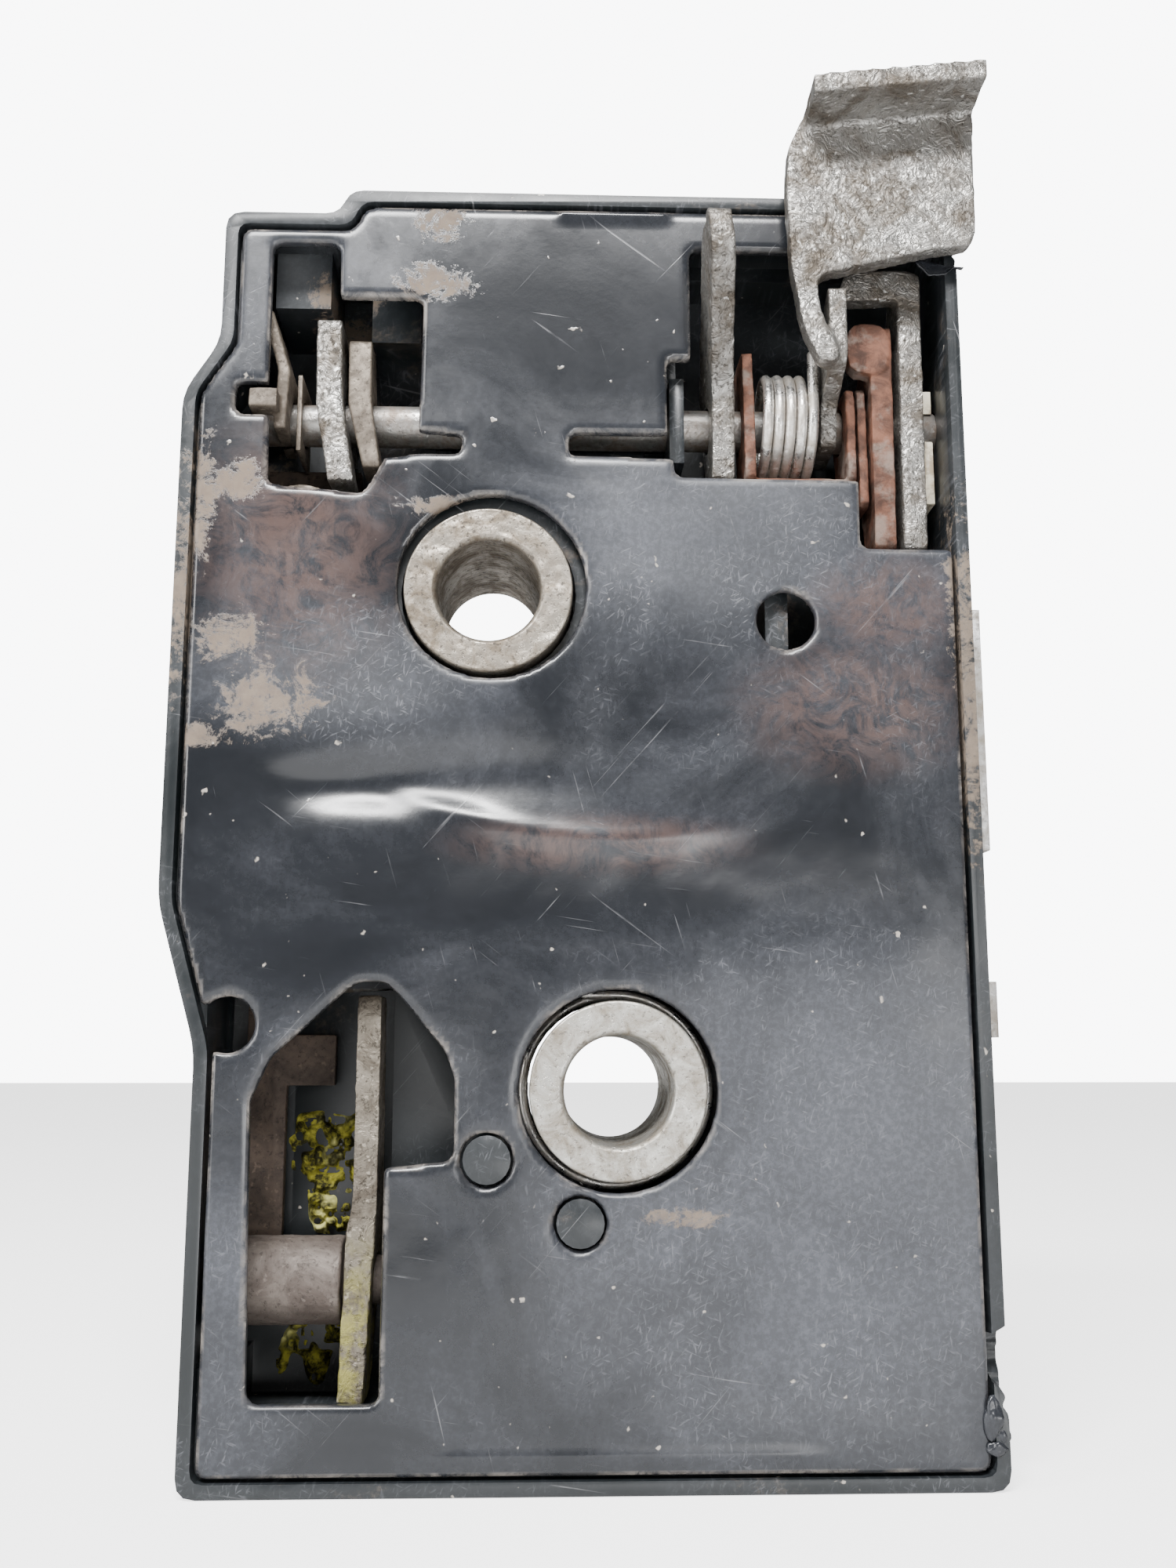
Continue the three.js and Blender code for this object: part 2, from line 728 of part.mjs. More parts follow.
// U-shaped saddle under the outside lever: two ears round the rod, joined below the spring.
function releaseSaddle() {
  const ear = [
    fromRod(-4.2, -6.4),
    fromRod(1.2, -6.4),
    fromRod(3.4, 2.8),
    fromRod(-4.2, 2.8),
  ];
  const tallEar = [
    fromRod(-4.6, -6.4),
    fromRod(1.2, -6.4),
    fromRod(3.2, 6.6),
    fromRod(-3.4, 6.6),
  ];
  const left = slab(rounded(tallEar, 1.2), 15.2, 16.2);
  const right = slab(rounded(ear, 1.2), 24.5, 25.3);
  const foot = box(15.2, 25.3, ROD_Y - 3.6, ROD_Y + 0.8, ROD_Z - 6.7, ROD_Z - 5.8);
  return cut(join(left, right, foot), boreOnRod(15, 26));
}

function releaseArm() {
  const side = [
    fromRod(-4.0, -8.6),
    fromRod(0.5, -8.6),
    fromRod(3.6, 0),
    fromRod(1.6, 3.4),
    fromRod(-3.6, 3.0),
  ];
  return cut(slab(rounded(side, 1.0), 25.6, 26.4), boreOnRod(25, 27));
}

function couplerLever() {
  const side = [
    fromRod(-4.4, -12.8),
    fromRod(-0.6, -12.8),
    fromRod(3.4, -2),
    fromRod(3.2, 3.4),
    fromRod(-2.6, 8.8),
    fromRod(-4.9, 8.4),
  ];
  const tab = [
    [24.6, 39.2],
    [28.4, 39.2],
    [28.4, 44.1],
    [24.6, 44.1],
  ];
  const blade = slab(rounded(side, 1.0), 26.7, 28.7);
  const flag = prism(rounded(tab, 1.6), ROD_Y - 5.0, ROD_Y - 3.2);
  return cut(join(blade, flag), boreOnRod(26, 29));
}

function lockLever() {
  const side = [
    fromRod(-4.4, -12.8),
    fromRod(-0.6, -12.8),
    fromRod(3.6, -2),
    fromRod(2.6, 6),
    fromRod(-1.8, 13.8),
    fromRod(-5.0, 13.8),
  ];
  const bridge = [
    [23.6, 46.2],
    [31.3, 46.6],
    [31.3, 49.3],
    [24.8, 49.3],
  ];
  const blade = slab(rounded(side, 1.0), 29.3, 31.5);
  const bar = prism(rounded(bridge, 0.8), ROD_Y - 5.0, ROD_Y - 3.0);
  return cut(join(blade, bar), boreOnRod(29.3, 31.5));
}

function nylonGuide() {
  const wallX = CASE_RIGHT - RIM_W - GAP;
  const body = box(GUIDE_LEFT, wallX, ROD_Y - 1.6, ROD_Y + 3.4, ROD_Z - 7.4, ROD_Z + 3.6);
  return cut(body, boreOnRod(GUIDE_LEFT, wallX));
}

// ---------------------------------------------------------------- locking levers, upper left

function sillLever() {
  const face = outline([
    [-22.0, 28.5],
    [-19.7, 28.5],
    [-20.9, 36.2],
    [-21.1, 43.9],
    [-23.4, 43.9],
    [-23.3, 36.0],
  ]);
  const side = rounded(
    [
      fromRod(-4.6, -7.0),
      fromRod(-0.2, -7.0),
      fromRod(0.6, -3.1),
      fromRod(5.0, -2.2),
      fromRod(5.0, -0.2),
      fromRod(3.4, 3.5),
      fromRod(0.0, 8.4),
      fromRod(-4.6, 8.4),
    ],
    0.5,
  );
  const blade = prism(face, -16, -2).intersect(slab(side, -26, -16));
  return cut(blade, boreOnRod(-26, -16));
}

function sillPlate() {
  const face = outline([
    [-19.1, 30.2],
    [-17.5, 30.2],
    [-18.4, 36.2],
    [-18.5, 42.4],
    [-20.6, 42.4],
    [-20.5, 36.2],
  ]);
  const side = rounded(
    [
      fromRod(-3.6, -5.6),
      fromRod(0, -5.6),
      fromRod(2.6, 0),
      fromRod(0, 7),
      fromRod(-3.6, 7),
    ],
    0.8,
  );
  const blade = prism(face, -16, -2).intersect(slab(side, -26, -14));
  return cut(blade, boreOnRod(-26, -14));
}

// Thin fixed plate that carries the end of the rod, with a tab in the cover's notch.
function lockBracket() {
  const face = outline([
    [-27.0, 33.4],
    [-25.9, 33.4],
    [-25.6, 38.8],
    [-27.3, 44.6],
    [-28.3, 44.4],
    [-26.7, 38.8],
  ]);
  const plate = prism(face, -14.2, ROD_Y + ROD_R + RUNNING_FIT + BRACKET_WALL);
  const tab = box(-28.9, -26.4, COVER_FRONT + 0.2, -13.8, 34.6, 36.4);
  return cut(join(plate, tab), boreOnRod(-29, -25));
}

function detentLeaf() {
  const leaf = box(-25.2, -24.8, ROD_Y - 2.6, ROD_Y + 3.2, ROD_Z - 3.4, ROD_Z + 3.8);
  return cut(leaf, boreOnRod(-26, -24));
}

function pivotDisc() {
  return barY(4.2, -12.6, -11.2, [-24.6, 24.6], 32);
}

// ---------------------------------------------------------------- key lever and lock link

function keyShaft() {
  const end = KEY_LEVER_X - KEY_LEVER_T / 2 - 3 * GAP;
  const shaft = barX(KEY_R, -29.8, end, KEY_Y, KEY_Z, 28);
  const halfW = NOSE_W / 2;
  const halfH = NOSE_H / 2;
  const nose = box(LINK_X - halfW, LINK_X + halfW, KEY_Y, LINK_Y, KEY_Z - halfH, KEY_Z + halfH);
  const core = barX(KEY_CORE_R, KEY_LEVER_X - 3, KEY_LEVER_X + 1.4, KEY_Y, KEY_Z, 20);
  return join(shaft, nose, core);
}

function keyLever() {
  const half = KEY_LEVER_T / 2;
  const face = outline([
    [KEY_LEVER_X - 1.9, -49.0],
    [KEY_LEVER_X + 0.2, -49.4],
    [KEY_LEVER_X + half, -34.5],
    [KEY_LEVER_X + half, -16.6],
    [KEY_LEVER_X - half, -16.6],
    [KEY_LEVER_X - half, -33.0],
    [KEY_LEVER_X - half - 0.5, -36.0],
  ]);
  const side = rounded(
    [
      [KEY_Y - 3.9, -50],
      [KEY_Y + 1.6, -50],
      [KEY_Y + 3.4, -40],
      [KEY_Y + 1.6, -30],
      [KEY_Y + 0.8, -16.2],
      [KEY_Y - 3.9, -16.2],
    ],
    1.0,
  );
  const blade = prism(face, -16, -2).intersect(slab(side, -22, -14));
  return cut(blade, barX(KEY_CORE_R + RUNNING_FIT, -24, -12, KEY_Y, KEY_Z, 20));
}

function lockLink() {
  const front = LINK_Y - LINK_T;
  const left = LINK_X - LINK_W / 2;
  const strip = box(left, LINK_X + LINK_W / 2, front, LINK_Y, KEY_Z - 4.2, 30.9);
  const bar = box(left, -20.0, front, LINK_Y, 30.5, 32.6);
  const foot = box(LINK_X, -20.9, front, LINK_Y, -24.2, -19.8);
  const halfW = NOSE_W / 2 + GAP;
  const halfH = NOSE_H / 2 + GAP;
  const yoke = box(
    LINK_X - halfW,
    LINK_X + halfW,
    front - 1,
    LINK_Y + 1,
    KEY_Z - halfH,
    KEY_Z + halfH,
  );
  return cut(join(strip, bar, foot), yoke);
}

// ---------------------------------------------------------------- the object

const BLACK_PLASTIC = [0x23262b, 0.45, 0.0];
const ZINC = [0x8d8a82, 0.5, 0.9];
const RUST = [0x7a4a36, 0.85, 0.4];
const STEEL = [0xb4b2ac, 0.35, 1.0];

addSolid("rear_cover", rearCover(), ...BLACK_PLASTIC);
addSolid("housing", housing(), ...BLACK_PLASTIC);
addSolid("latch_plate", latchPlate(), ...STEEL);
addSolid("upper_sleeve", sleeve(UPPER_SLEEVE), ...STEEL);
addSolid("lower_sleeve", sleeve(LOWER_SLEEVE), ...STEEL);
addSolid("striker_buffer", strikerBuffer(), 0x151515, 0.9, 0.0);
addSolid("lever_rod", onRod(ROD_R, ROD_LEFT, CASE_RIGHT - RIM_W / 2 - GAP), ...STEEL);
RIVETS.forEach((at, i) => addSolid(`rivet_${i + 1}`, rivet(at), ...STEEL));

const fork = addSolid("fork_bolt", forkBolt(), ...STEEL);
fork.position.set(LOWER_SLEEVE[0], FORK_BACK, LOWER_SLEEVE[1]);
fork.rotation.y = THREE.MathUtils.degToRad(FORK_OPEN);
addSolid("pawl", pawl(), ...STEEL);
const forkCoilR = SLEEVE_R + RUNNING_FIT + SLEEVE_WIRE_R;
const pawlCoilR = SLEEVE_R + GAP + COLLAR_WALL + GAP + SLEEVE_WIRE_R;
addMesh("fork_spring", sleeveSpring(LOWER_SLEEVE, forkCoilR, 3.5, -Math.PI / 2, [3, 3]), ...STEEL);
addMesh("pawl_spring", sleeveSpring(UPPER_SLEEVE, pawlCoilR, 2.5, Math.PI / 2, [3, 3]), ...STEEL);

addSolid("inside_lever", insideLever(), ...ZINC);
addSolid("outside_lever", outsideLever(), ...ZINC);
addSolid("release_saddle", releaseSaddle(), ...RUST);
addSolid("release_arm", releaseArm(), ...RUST);
addSolid("coupler_lever", couplerLever(), ...RUST);
addSolid("lock_lever", lockLever(), ...ZINC);
addSolid("nylon_guide", nylonGuide(), 0xd8cfb8, 0.6, 0.0);
addMesh("return_spring", returnSpring(), ...STEEL);

addSolid("sill_lever", sillLever(), ...ZINC);
addSolid("sill_plate", sillPlate(), 0x8a7762, 0.7, 0.5);
addSolid("lock_bracket", lockBracket(), 0x8a7762, 0.7, 0.5);
addSolid("detent_leaf", detentLeaf(), ...STEEL);
addSolid("pivot_disc", pivotDisc(), 0x8a7762, 0.7, 0.5);

addSolid("key_shaft", keyShaft(), 0x6b645c, 0.7, 0.6);
addSolid("key_lever", keyLever(), ...ZINC);
addSolid("lock_link", lockLink(), ...ZINC);

export default root;
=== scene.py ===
import bpy
import bmesh
import json
import math
import numpy as np
from mathutils import Matrix, Vector

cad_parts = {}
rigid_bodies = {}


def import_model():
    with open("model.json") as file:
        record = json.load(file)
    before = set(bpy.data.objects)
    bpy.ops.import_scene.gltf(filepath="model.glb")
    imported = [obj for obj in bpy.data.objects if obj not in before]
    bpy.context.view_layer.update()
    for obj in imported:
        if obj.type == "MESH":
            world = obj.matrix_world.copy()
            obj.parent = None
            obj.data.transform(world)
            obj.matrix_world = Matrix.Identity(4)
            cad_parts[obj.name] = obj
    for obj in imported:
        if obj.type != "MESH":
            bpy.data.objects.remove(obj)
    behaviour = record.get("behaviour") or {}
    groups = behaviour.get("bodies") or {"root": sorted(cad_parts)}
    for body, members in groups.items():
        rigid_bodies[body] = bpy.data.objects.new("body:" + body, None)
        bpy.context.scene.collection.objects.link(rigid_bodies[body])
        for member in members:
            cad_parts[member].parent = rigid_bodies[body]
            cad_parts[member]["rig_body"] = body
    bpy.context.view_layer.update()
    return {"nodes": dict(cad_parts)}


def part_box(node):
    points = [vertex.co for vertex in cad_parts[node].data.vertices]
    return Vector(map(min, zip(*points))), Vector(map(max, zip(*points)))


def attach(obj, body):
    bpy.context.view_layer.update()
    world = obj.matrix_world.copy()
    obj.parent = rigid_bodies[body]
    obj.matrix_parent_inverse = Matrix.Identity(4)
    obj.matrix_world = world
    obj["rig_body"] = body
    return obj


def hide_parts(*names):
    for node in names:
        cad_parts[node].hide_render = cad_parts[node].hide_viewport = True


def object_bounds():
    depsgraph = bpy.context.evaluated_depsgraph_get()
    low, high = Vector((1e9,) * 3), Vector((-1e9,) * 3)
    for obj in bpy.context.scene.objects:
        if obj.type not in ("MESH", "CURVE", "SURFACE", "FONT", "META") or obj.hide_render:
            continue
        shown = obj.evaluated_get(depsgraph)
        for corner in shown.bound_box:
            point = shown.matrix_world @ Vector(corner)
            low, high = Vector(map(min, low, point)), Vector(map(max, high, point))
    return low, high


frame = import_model()
nodes = frame["nodes"]
MM = 0.001

# ---------------------------------------------------------------------------
# The room: a pale bench top, a soft sky and three large lamps. The latch stands
# on its lower edge, and the lens looks slightly upwards at the cover side.
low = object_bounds()[0]
aim = Vector((1.0 * MM, -16.2 * MM, 1.0 * MM))
yaw, pitch, reach = math.radians(2.0), math.radians(10.05), 127.7 * MM
forward = Vector((
    math.sin(yaw) * math.cos(pitch),
    math.cos(yaw) * math.cos(pitch),
    math.sin(pitch),
))
rightward = Vector((math.cos(yaw), -math.sin(yaw), 0.0))
upward = rightward.cross(forward)
lens = bpy.data.cameras.new("view")
lens.sensor_width = 36.0
lens.lens = 34.7
lens.clip_start = 0.001
viewer = bpy.data.objects.new("view", lens)
bpy.context.scene.collection.objects.link(viewer)
turn = Matrix((rightward, upward, -forward)).transposed()
viewer.matrix_world = Matrix.Translation(aim - forward * reach) @ turn.to_4x4()
bpy.context.scene.camera = viewer


def new_piece(name, points, faces, smooth=True):
    """A mesh object at the origin from arrays of points in metres and of faces."""
    mesh = bpy.data.meshes.new(name)
    mesh.from_pydata(np.asarray(points, float).tolist(), [], np.asarray(faces).tolist())
    mesh.validate()
    mesh.polygons.foreach_set("use_smooth", np.full(len(mesh.polygons), smooth))
    piece = bpy.data.objects.new(name, mesh)
    bpy.context.scene.collection.objects.link(piece)
    return piece


bench_z = low.z - 0.05 * MM
side = 1.6
bench = new_piece(
    "bench",
    [
        (-side, -side, bench_z),
        (side, -side, bench_z),
        (side, side, bench_z),
        (-side, side, bench_z),
    ],
    [(0, 1, 2, 3)],
)
bench_paint = bpy.data.materials.new("bench_paint")
bench_paint.use_nodes = True
bench_shader = bench_paint.node_tree.nodes["Principled BSDF"]
bench_shader.inputs["Base Color"].default_value = (0.86, 0.86, 0.86, 1)
bench_shader.inputs["Roughness"].default_value = 0.8
bench_shader.inputs["Emission Color"].default_value = (1, 1, 1, 1)
direct = bench_paint.node_tree.nodes.new("ShaderNodeLightPath")
glow = bench_paint.node_tree.nodes.new("ShaderNodeMapRange")
glow.inputs["To Min"].default_value = 0.0
glow.inputs["To Max"].default_value = 2.2
bench_paint.node_tree.links.new(direct.outputs["Is Camera Ray"], glow.inputs["Value"])
bench_paint.node_tree.links.new(glow.outputs["Result"], bench_shader.inputs["Emission Strength"])
bench.data.materials.append(bench_paint)

sky = bpy.data.worlds.new("sky")
sky.use_nodes = True
backdrop = sky.node_tree.nodes["Background"]
backdrop.inputs["Color"].default_value = (0.98, 0.99, 1.0, 1)
seen = sky.node_tree.nodes.new("ShaderNodeLightPath")
lift = sky.node_tree.nodes.new("ShaderNodeMapRange")
lift.inputs["To Min"].default_value = 0.34
lift.inputs["To Max"].default_value = 9.0
sky.node_tree.links.new(seen.outputs["Is Camera Ray"], lift.inputs["Value"])
sky.node_tree.links.new(lift.outputs["Result"], backdrop.inputs["Strength"])
bpy.context.scene.world = sky


def lamp(name, place, target, width, height, power, colour=(1, 1, 1)):
    """A rectangular soft lamp at place, turned to face target, in metres and watts."""
    light = bpy.data.lights.new(name, "AREA")
    light.shape = "RECTANGLE"
    light.size, light.size_y = width, height
    light.energy = power
    light.color = colour
    holder = bpy.data.objects.new(name, light)
    bpy.context.scene.collection.objects.link(holder)
    holder.location = place
    aimed = Vector(target) - Vector(place)
    holder.rotation_euler = aimed.to_track_quat("-Z", "Y").to_euler()
    return holder


lamp("top_lamp", (-0.06, -0.31, 0.33), (0, 0, 0.01), 0.26, 0.07, 6.0)
lamp("left_lamp", (-0.40, -0.24, 0.12), (0, 0, 0), 0.14, 0.30, 1.8)
lamp("low_lamp", (0.20, -0.42, -0.04), (0.02, 0, -0.03), 0.30, 0.05, 0.9)

# ---------------------------------------------------------------------------
# Finishes that several pieces share: dried mud dust, fine scuff lines and the
# mottle of old metal. Each is a shader group that puts out a mask or a height.


def wired_group(name, inputs, outputs):
    """An empty shader group with named float sockets, and its two end nodes."""
    group = bpy.data.node_groups.new(name, "ShaderNodeTree")
    for label, value in inputs:
        socket = group.interface.new_socket(label, in_out="INPUT", socket_type="NodeSocketFloat")
        socket.default_value = value
    for label in outputs:
        group.interface.new_socket(label, in_out="OUTPUT", socket_type="NodeSocketFloat")
    return group, group.nodes.new("NodeGroupInput"), group.nodes.new("NodeGroupOutput")


def noise(tree, place, scale, detail=6.0, roughness=0.6, distortion=0.0):
    """A noise texture read at the given place, with its scale a number or a socket."""
    texture = tree.nodes.new("ShaderNodeTexNoise")
    texture.inputs["Detail"].default_value = detail
    texture.inputs["Roughness"].default_value = roughness
    texture.inputs["Distortion"].default_value = distortion
    tree.links.new(place, texture.inputs["Vector"])
    if isinstance(scale, (int, float)):
        texture.inputs["Scale"].default_value = scale
    else:
        tree.links.new(scale, texture.inputs["Scale"])
    return texture.outputs["Fac"]


def maths(tree, operation, first, second=0.5, third=None, clamp=False):
    """A math node on sockets or numbers."""
    node = tree.nodes.new("ShaderNodeMath")
    node.operation = operation
    node.use_clamp = clamp
    for index, value in enumerate((first, second, third)):
        if value is None:
            continue
        if isinstance(value, (int, float)):
            node.inputs[index].default_value = value
        else:
            tree.links.new(value, node.inputs[index])
    return node.outputs[0]


def between(tree, value, start, end):
    """Rises smoothly from 0 to 1 as value goes from start to end."""
    node = tree.nodes.new("ShaderNodeMapRange")
    node.interpolation_type = "SMOOTHSTEP"
    tree.links.new(value, node.inputs["Value"])
    for label, amount in (("From Min", start), ("From Max", end)):
        if isinstance(amount, (int, float)):
            node.inputs[label].default_value = amount
        else:
            tree.links.new(amount, node.inputs[label])
    return node.outputs["Result"]


def object_place(tree, offset=(0, 0, 0), stretch=(1, 1, 1), turn_y=0.0):
    """Object coordinates moved by the offset and turned about Y, then stretched."""
    coordinate = tree.nodes.new("ShaderNodeTexCoord")
    turned = tree.nodes.new("ShaderNodeMapping")
    turned.vector_type = "TEXTURE"
    turned.inputs["Location"].default_value = offset
    turned.inputs["Rotation"].default_value = (0, turn_y, 0)
    mapping = tree.nodes.new("ShaderNodeMapping")
    mapping.inputs["Scale"].default_value = stretch
    tree.links.new(coordinate.outputs["Object"], turned.inputs["Vector"])
    tree.links.new(turned.outputs["Vector"], mapping.inputs["Vector"])
    return mapping.outputs["Vector"]


# Dust: broad clouds times fine grain, so it lies in patches with ragged edges.
dust_group, given, out = wired_group("dried_dust", [("Scale", 60.0), ("Cover", 0.5)], ["Mask"])
spot = object_place(dust_group)
clouds = noise(dust_group, spot, given.outputs["Scale"], 8.0, 0.68, 0.4)
grains = noise(dust_group, spot, 2600.0, 3.0, 0.7)
patch = maths(dust_group, "MULTIPLY_ADD", grains, 0.22, clouds)
spread = maths(dust_group, "MULTIPLY", given.outputs["Cover"], 0.6)
edge = maths(dust_group, "SUBTRACT", 1.02, spread)
mask = between(dust_group, maths(dust_group, "SUBTRACT", patch, edge), -0.06, 0.10)
dust_group.links.new(mask, out.inputs["Mask"])

# Scuffs: thin bright lines from stretched noise in five directions.
scuff_group, given, out = wired_group("fine_scuffs", [("Amount", 0.5)], ["Mask"])
total = None
for turn_angle, length, fineness in (
    (0.65, 60.0, 2400.0),
    (-0.85, 45.0, 2900.0),
    (1.30, 90.0, 2600.0),
    (0.15, 70.0, 3300.0),
    (2.30, 50.0, 3000.0),
):
    offset = (0.01 * turn_angle, 0, 0.007)
    place = object_place(scuff_group, offset, (length, 60.0, fineness), turn_angle)
    streak = noise(scuff_group, place, 1.0, 2.0, 0.5, 0.15)
    thin = between(scuff_group, streak, 0.70, 0.76)
    total = thin if total is None else maths(scuff_group, "MAXIMUM", total, thin)
clumps = noise(scuff_group, object_place(scuff_group), 130.0, 4.0, 0.7)
broken = between(scuff_group, clumps, 0.44, 0.62)
scratch = maths(scuff_group, "MULTIPLY", total, broken)
scratch = maths(scuff_group, "MULTIPLY", scratch, given.outputs["Amount"])
scuff_group.links.new(scratch, out.inputs["Mask"])

# Mottle: broad blotches and fine pits for oxide on bare or plated metal.
mottle_group, given, out = wired_group("metal_mottle", [("Scale", 300.0)], ["Blotch", "Pits"])
spot = object_place(mottle_group)
cloudy = noise(mottle_group, spot, given.outputs["Scale"], 7.0, 0.7, 0.6)
blotch = between(mottle_group, cloudy, 0.34, 0.68)
pits = between(mottle_group, noise(mottle_group, spot, 2200.0, 4.0, 0.75), 0.52, 0.68)
mottle_group.links.new(blotch, out.inputs["Blotch"])
mottle_group.links.new(pits, out.inputs["Pits"])


def placed(tree, group, **values):
    """One shader group placed in a material, with its own input values."""
    node = tree.nodes.new("ShaderNodeGroup")
    node.node_tree = group
    for label, value in values.items():
        node.inputs[label.replace("_", " ")].default_value = value
    return node.outputs


def blend_colour(tree, mask, first, second):
    """Mixes two colours, given as sockets or as numbers, by a mask."""
    node = tree.nodes.new("ShaderNodeMix")
    node.data_type = "RGBA"
    tree.links.new(mask, node.inputs["Factor"])
    for label, colour in (("A", first), ("B", second)):
        socket = [s for s in node.inputs if s.name == label and s.type == "RGBA"][0]
        if isinstance(colour, tuple):
            socket.default_value = (*colour, 1.0)
        else:
            tree.links.new(colour, socket)
    return [s for s in node.outputs if s.type == "RGBA"][0]


def blend_value(tree, mask, first, second):
    """Goes from first to second as the mask goes from 0 to 1."""
    node = tree.nodes.new("ShaderNodeMapRange")
    tree.links.new(mask, node.inputs["Value"])
    node.inputs["To Min"].default_value = first
    node.inputs["To Max"].default_value = second
    return node.outputs["Result"]


def started(name, metallic, specular=0.5):
    """A new material, its tree and its Principled shader with the plain values set."""
    material = bpy.data.materials.new(name)
    material.use_nodes = True
    shader = material.node_tree.nodes["Principled BSDF"]
    shader.inputs["Metallic"].default_value = metallic
    shader.inputs["Specular IOR Level"].default_value = specular
    return material, material.node_tree, shader


def raised(tree, shader, height, strength, distance=0.1 * MM):
    """Feeds a height into the shader's normal through a bump."""
    bump = tree.nodes.new("ShaderNodeBump")
    bump.inputs["Strength"].default_value = strength
    bump.inputs["Distance"].default_value = distance
    tree.links.new(height, bump.inputs["Height"])
    tree.links.new(bump.outputs["Normal"], shader.inputs["Normal"])


def stand_for(piece, node):
    """The piece takes the place of a CAD node and moves with the node's body."""
    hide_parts(node)
    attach(piece, nodes[node]["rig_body"])
    return piece


def clad(piece, material):
    """Gives a piece one material."""
    piece.data.materials.clear()
    piece.data.materials.append(material)


def eased(node, width, segments=2, angle=32.0):
    """Broken edges on a cut blank: its doubles welded, then a small bevel on each sharp edge."""
    weld = node.modifiers.new("weld", "WELD")
    weld.merge_threshold = 0.002 * MM
    bevel = node.modifiers.new("edges", "BEVEL")
    bevel.width = width
    bevel.segments = segments
    bevel.limit_method = "ANGLE"
    bevel.angle_limit = math.radians(angle)
    bevel.use_clamp_overlap = True
    bevel.harden_normals = True
    node.data.polygons.foreach_set("use_smooth", np.full(len(node.data.polygons), True))


# ---------------------------------------------------------------------------
# Steel latch plate with its folded lip, the four rivets and the rubber buffer.
# Pressed from 2 mm strip, bright zinc plated, the plating dull and spotted.
def lattice_noise(points, size, seed):
    """Smooth value noise in 0..1: a random value at each corner of a cubic lattice of the given
    size in metres, blended between corners with a cubic ease."""
    place = np.asarray(points, float) / size
    corner = np.floor(place).astype(np.int64)
    part = place - corner
    part = part * part * (3 - 2 * part)
    total = np.zeros(len(place))
    for dx in (0, 1):
        for dy in (0, 1):
            for dz in (0, 1):
                cell = corner + (dx, dy, dz)
                mixed = (cell[:, 0] * 73856093) ^ (cell[:, 1] * 19349663)
                mixed = mixed ^ (cell[:, 2] * 83492791) ^ (seed * 2654435)
                mixed = (mixed ^ (mixed >> 13)) * 1274126177
                value = ((mixed ^ (mixed >> 16)) & 0xFFFF) / 65535.0
                share = (
                    (part[:, 0] if dx else 1 - part[:, 0])
                    * (part[:, 1] if dy else 1 - part[:, 1])
                    * (part[:, 2] if dz else 1 - part[:, 2])
                )
                total += value * share
    return total


def ripple(points, size, seed, octaves=3):
    """Several sizes of lattice noise added, each half the size and half the height, about zero."""
    total = np.zeros(len(points))
    for level in range(octaves):
        total += (lattice_noise(points, size / 2**level, seed + level) - 0.5) / 2**level
    return total


def steel(
    name, base, stain, roughness,
    scale=300.0, pit_strength=0.35, metallic=0.9, specks=0.3, crinkle=0.0,
):
    """Worn metal: a base colour with blotches of stain, dark pits and bright rubbed specks; a
    casting also has a crinkled skin."""
    material, tree, shader = started(name, metallic)
    marks = placed(tree, mottle_group, Scale=scale)
    colour = blend_colour(tree, marks["Blotch"], stain, base)
    dark = tuple(0.35 * c for c in stain)
    colour = blend_colour(tree, maths(tree, "MULTIPLY", marks["Pits"], pit_strength), colour, dark)
    spot = object_place(tree)
    rubbed = between(tree, noise(tree, spot, 1500.0, 2.0, 0.5), 0.64, 0.72)
    bright = tuple(min(1.0, 1.5 * c) for c in base)
    colour = blend_colour(tree, maths(tree, "MULTIPLY", rubbed, specks), colour, bright)
    tree.links.new(colour, shader.inputs["Base Color"])
    dull = blend_value(tree, marks["Blotch"], roughness + 0.22, roughness)
    tree.links.new(dull, shader.inputs["Roughness"])
    bare = blend_value(tree, marks["Blotch"], metallic - 0.35, metallic)
    tree.links.new(bare, shader.inputs["Metallic"])
    height = maths(tree, "MULTIPLY_ADD", marks["Pits"], -0.6, noise(tree, spot, 900.0, 5.0, 0.65))
    if crinkle:
        folds = noise(tree, spot, 620.0, 3.0, 0.55, 1.4)
        ridges = maths(tree, "ABSOLUTE", maths(tree, "SUBTRACT", folds, 0.5))
        height = maths(tree, "MULTIPLY_ADD", ridges, -5.0 * crinkle, height)
    raised(tree, shader, height, 0.35 + 0.4 * crinkle, 0.12 * MM)
    return material


plated = steel("plated_steel", (0.50, 0.50, 0.50), (0.27, 0.24, 0.20), 0.38)
rubber, tree, shader = started("buffer_rubber", 0.0, 0.3)
film = placed(tree, dust_group, Scale=200.0, Cover=0.5)["Mask"]
colour = blend_colour(tree, film, (0.02, 0.02, 0.02), (0.14, 0.12, 0.10))
tree.links.new(colour, shader.inputs["Base Color"])
shader.inputs["Roughness"].default_value = 0.85
for name in ("latch_plate", "rivet_1", "rivet_2", "rivet_3", "rivet_4"):
    clad(nodes[name], plated)
    eased(nodes[name], 0.18 * MM)
clad(nodes["striker_buffer"], rubber)
eased(nodes["striker_buffer"], 0.3 * MM)

# ---------------------------------------------------------------------------
# Housing: one black glass-filled moulding with the chamber and the lever wells.
# The walls carry dust in the corners; the rim is scuffed where the cover was levered off.


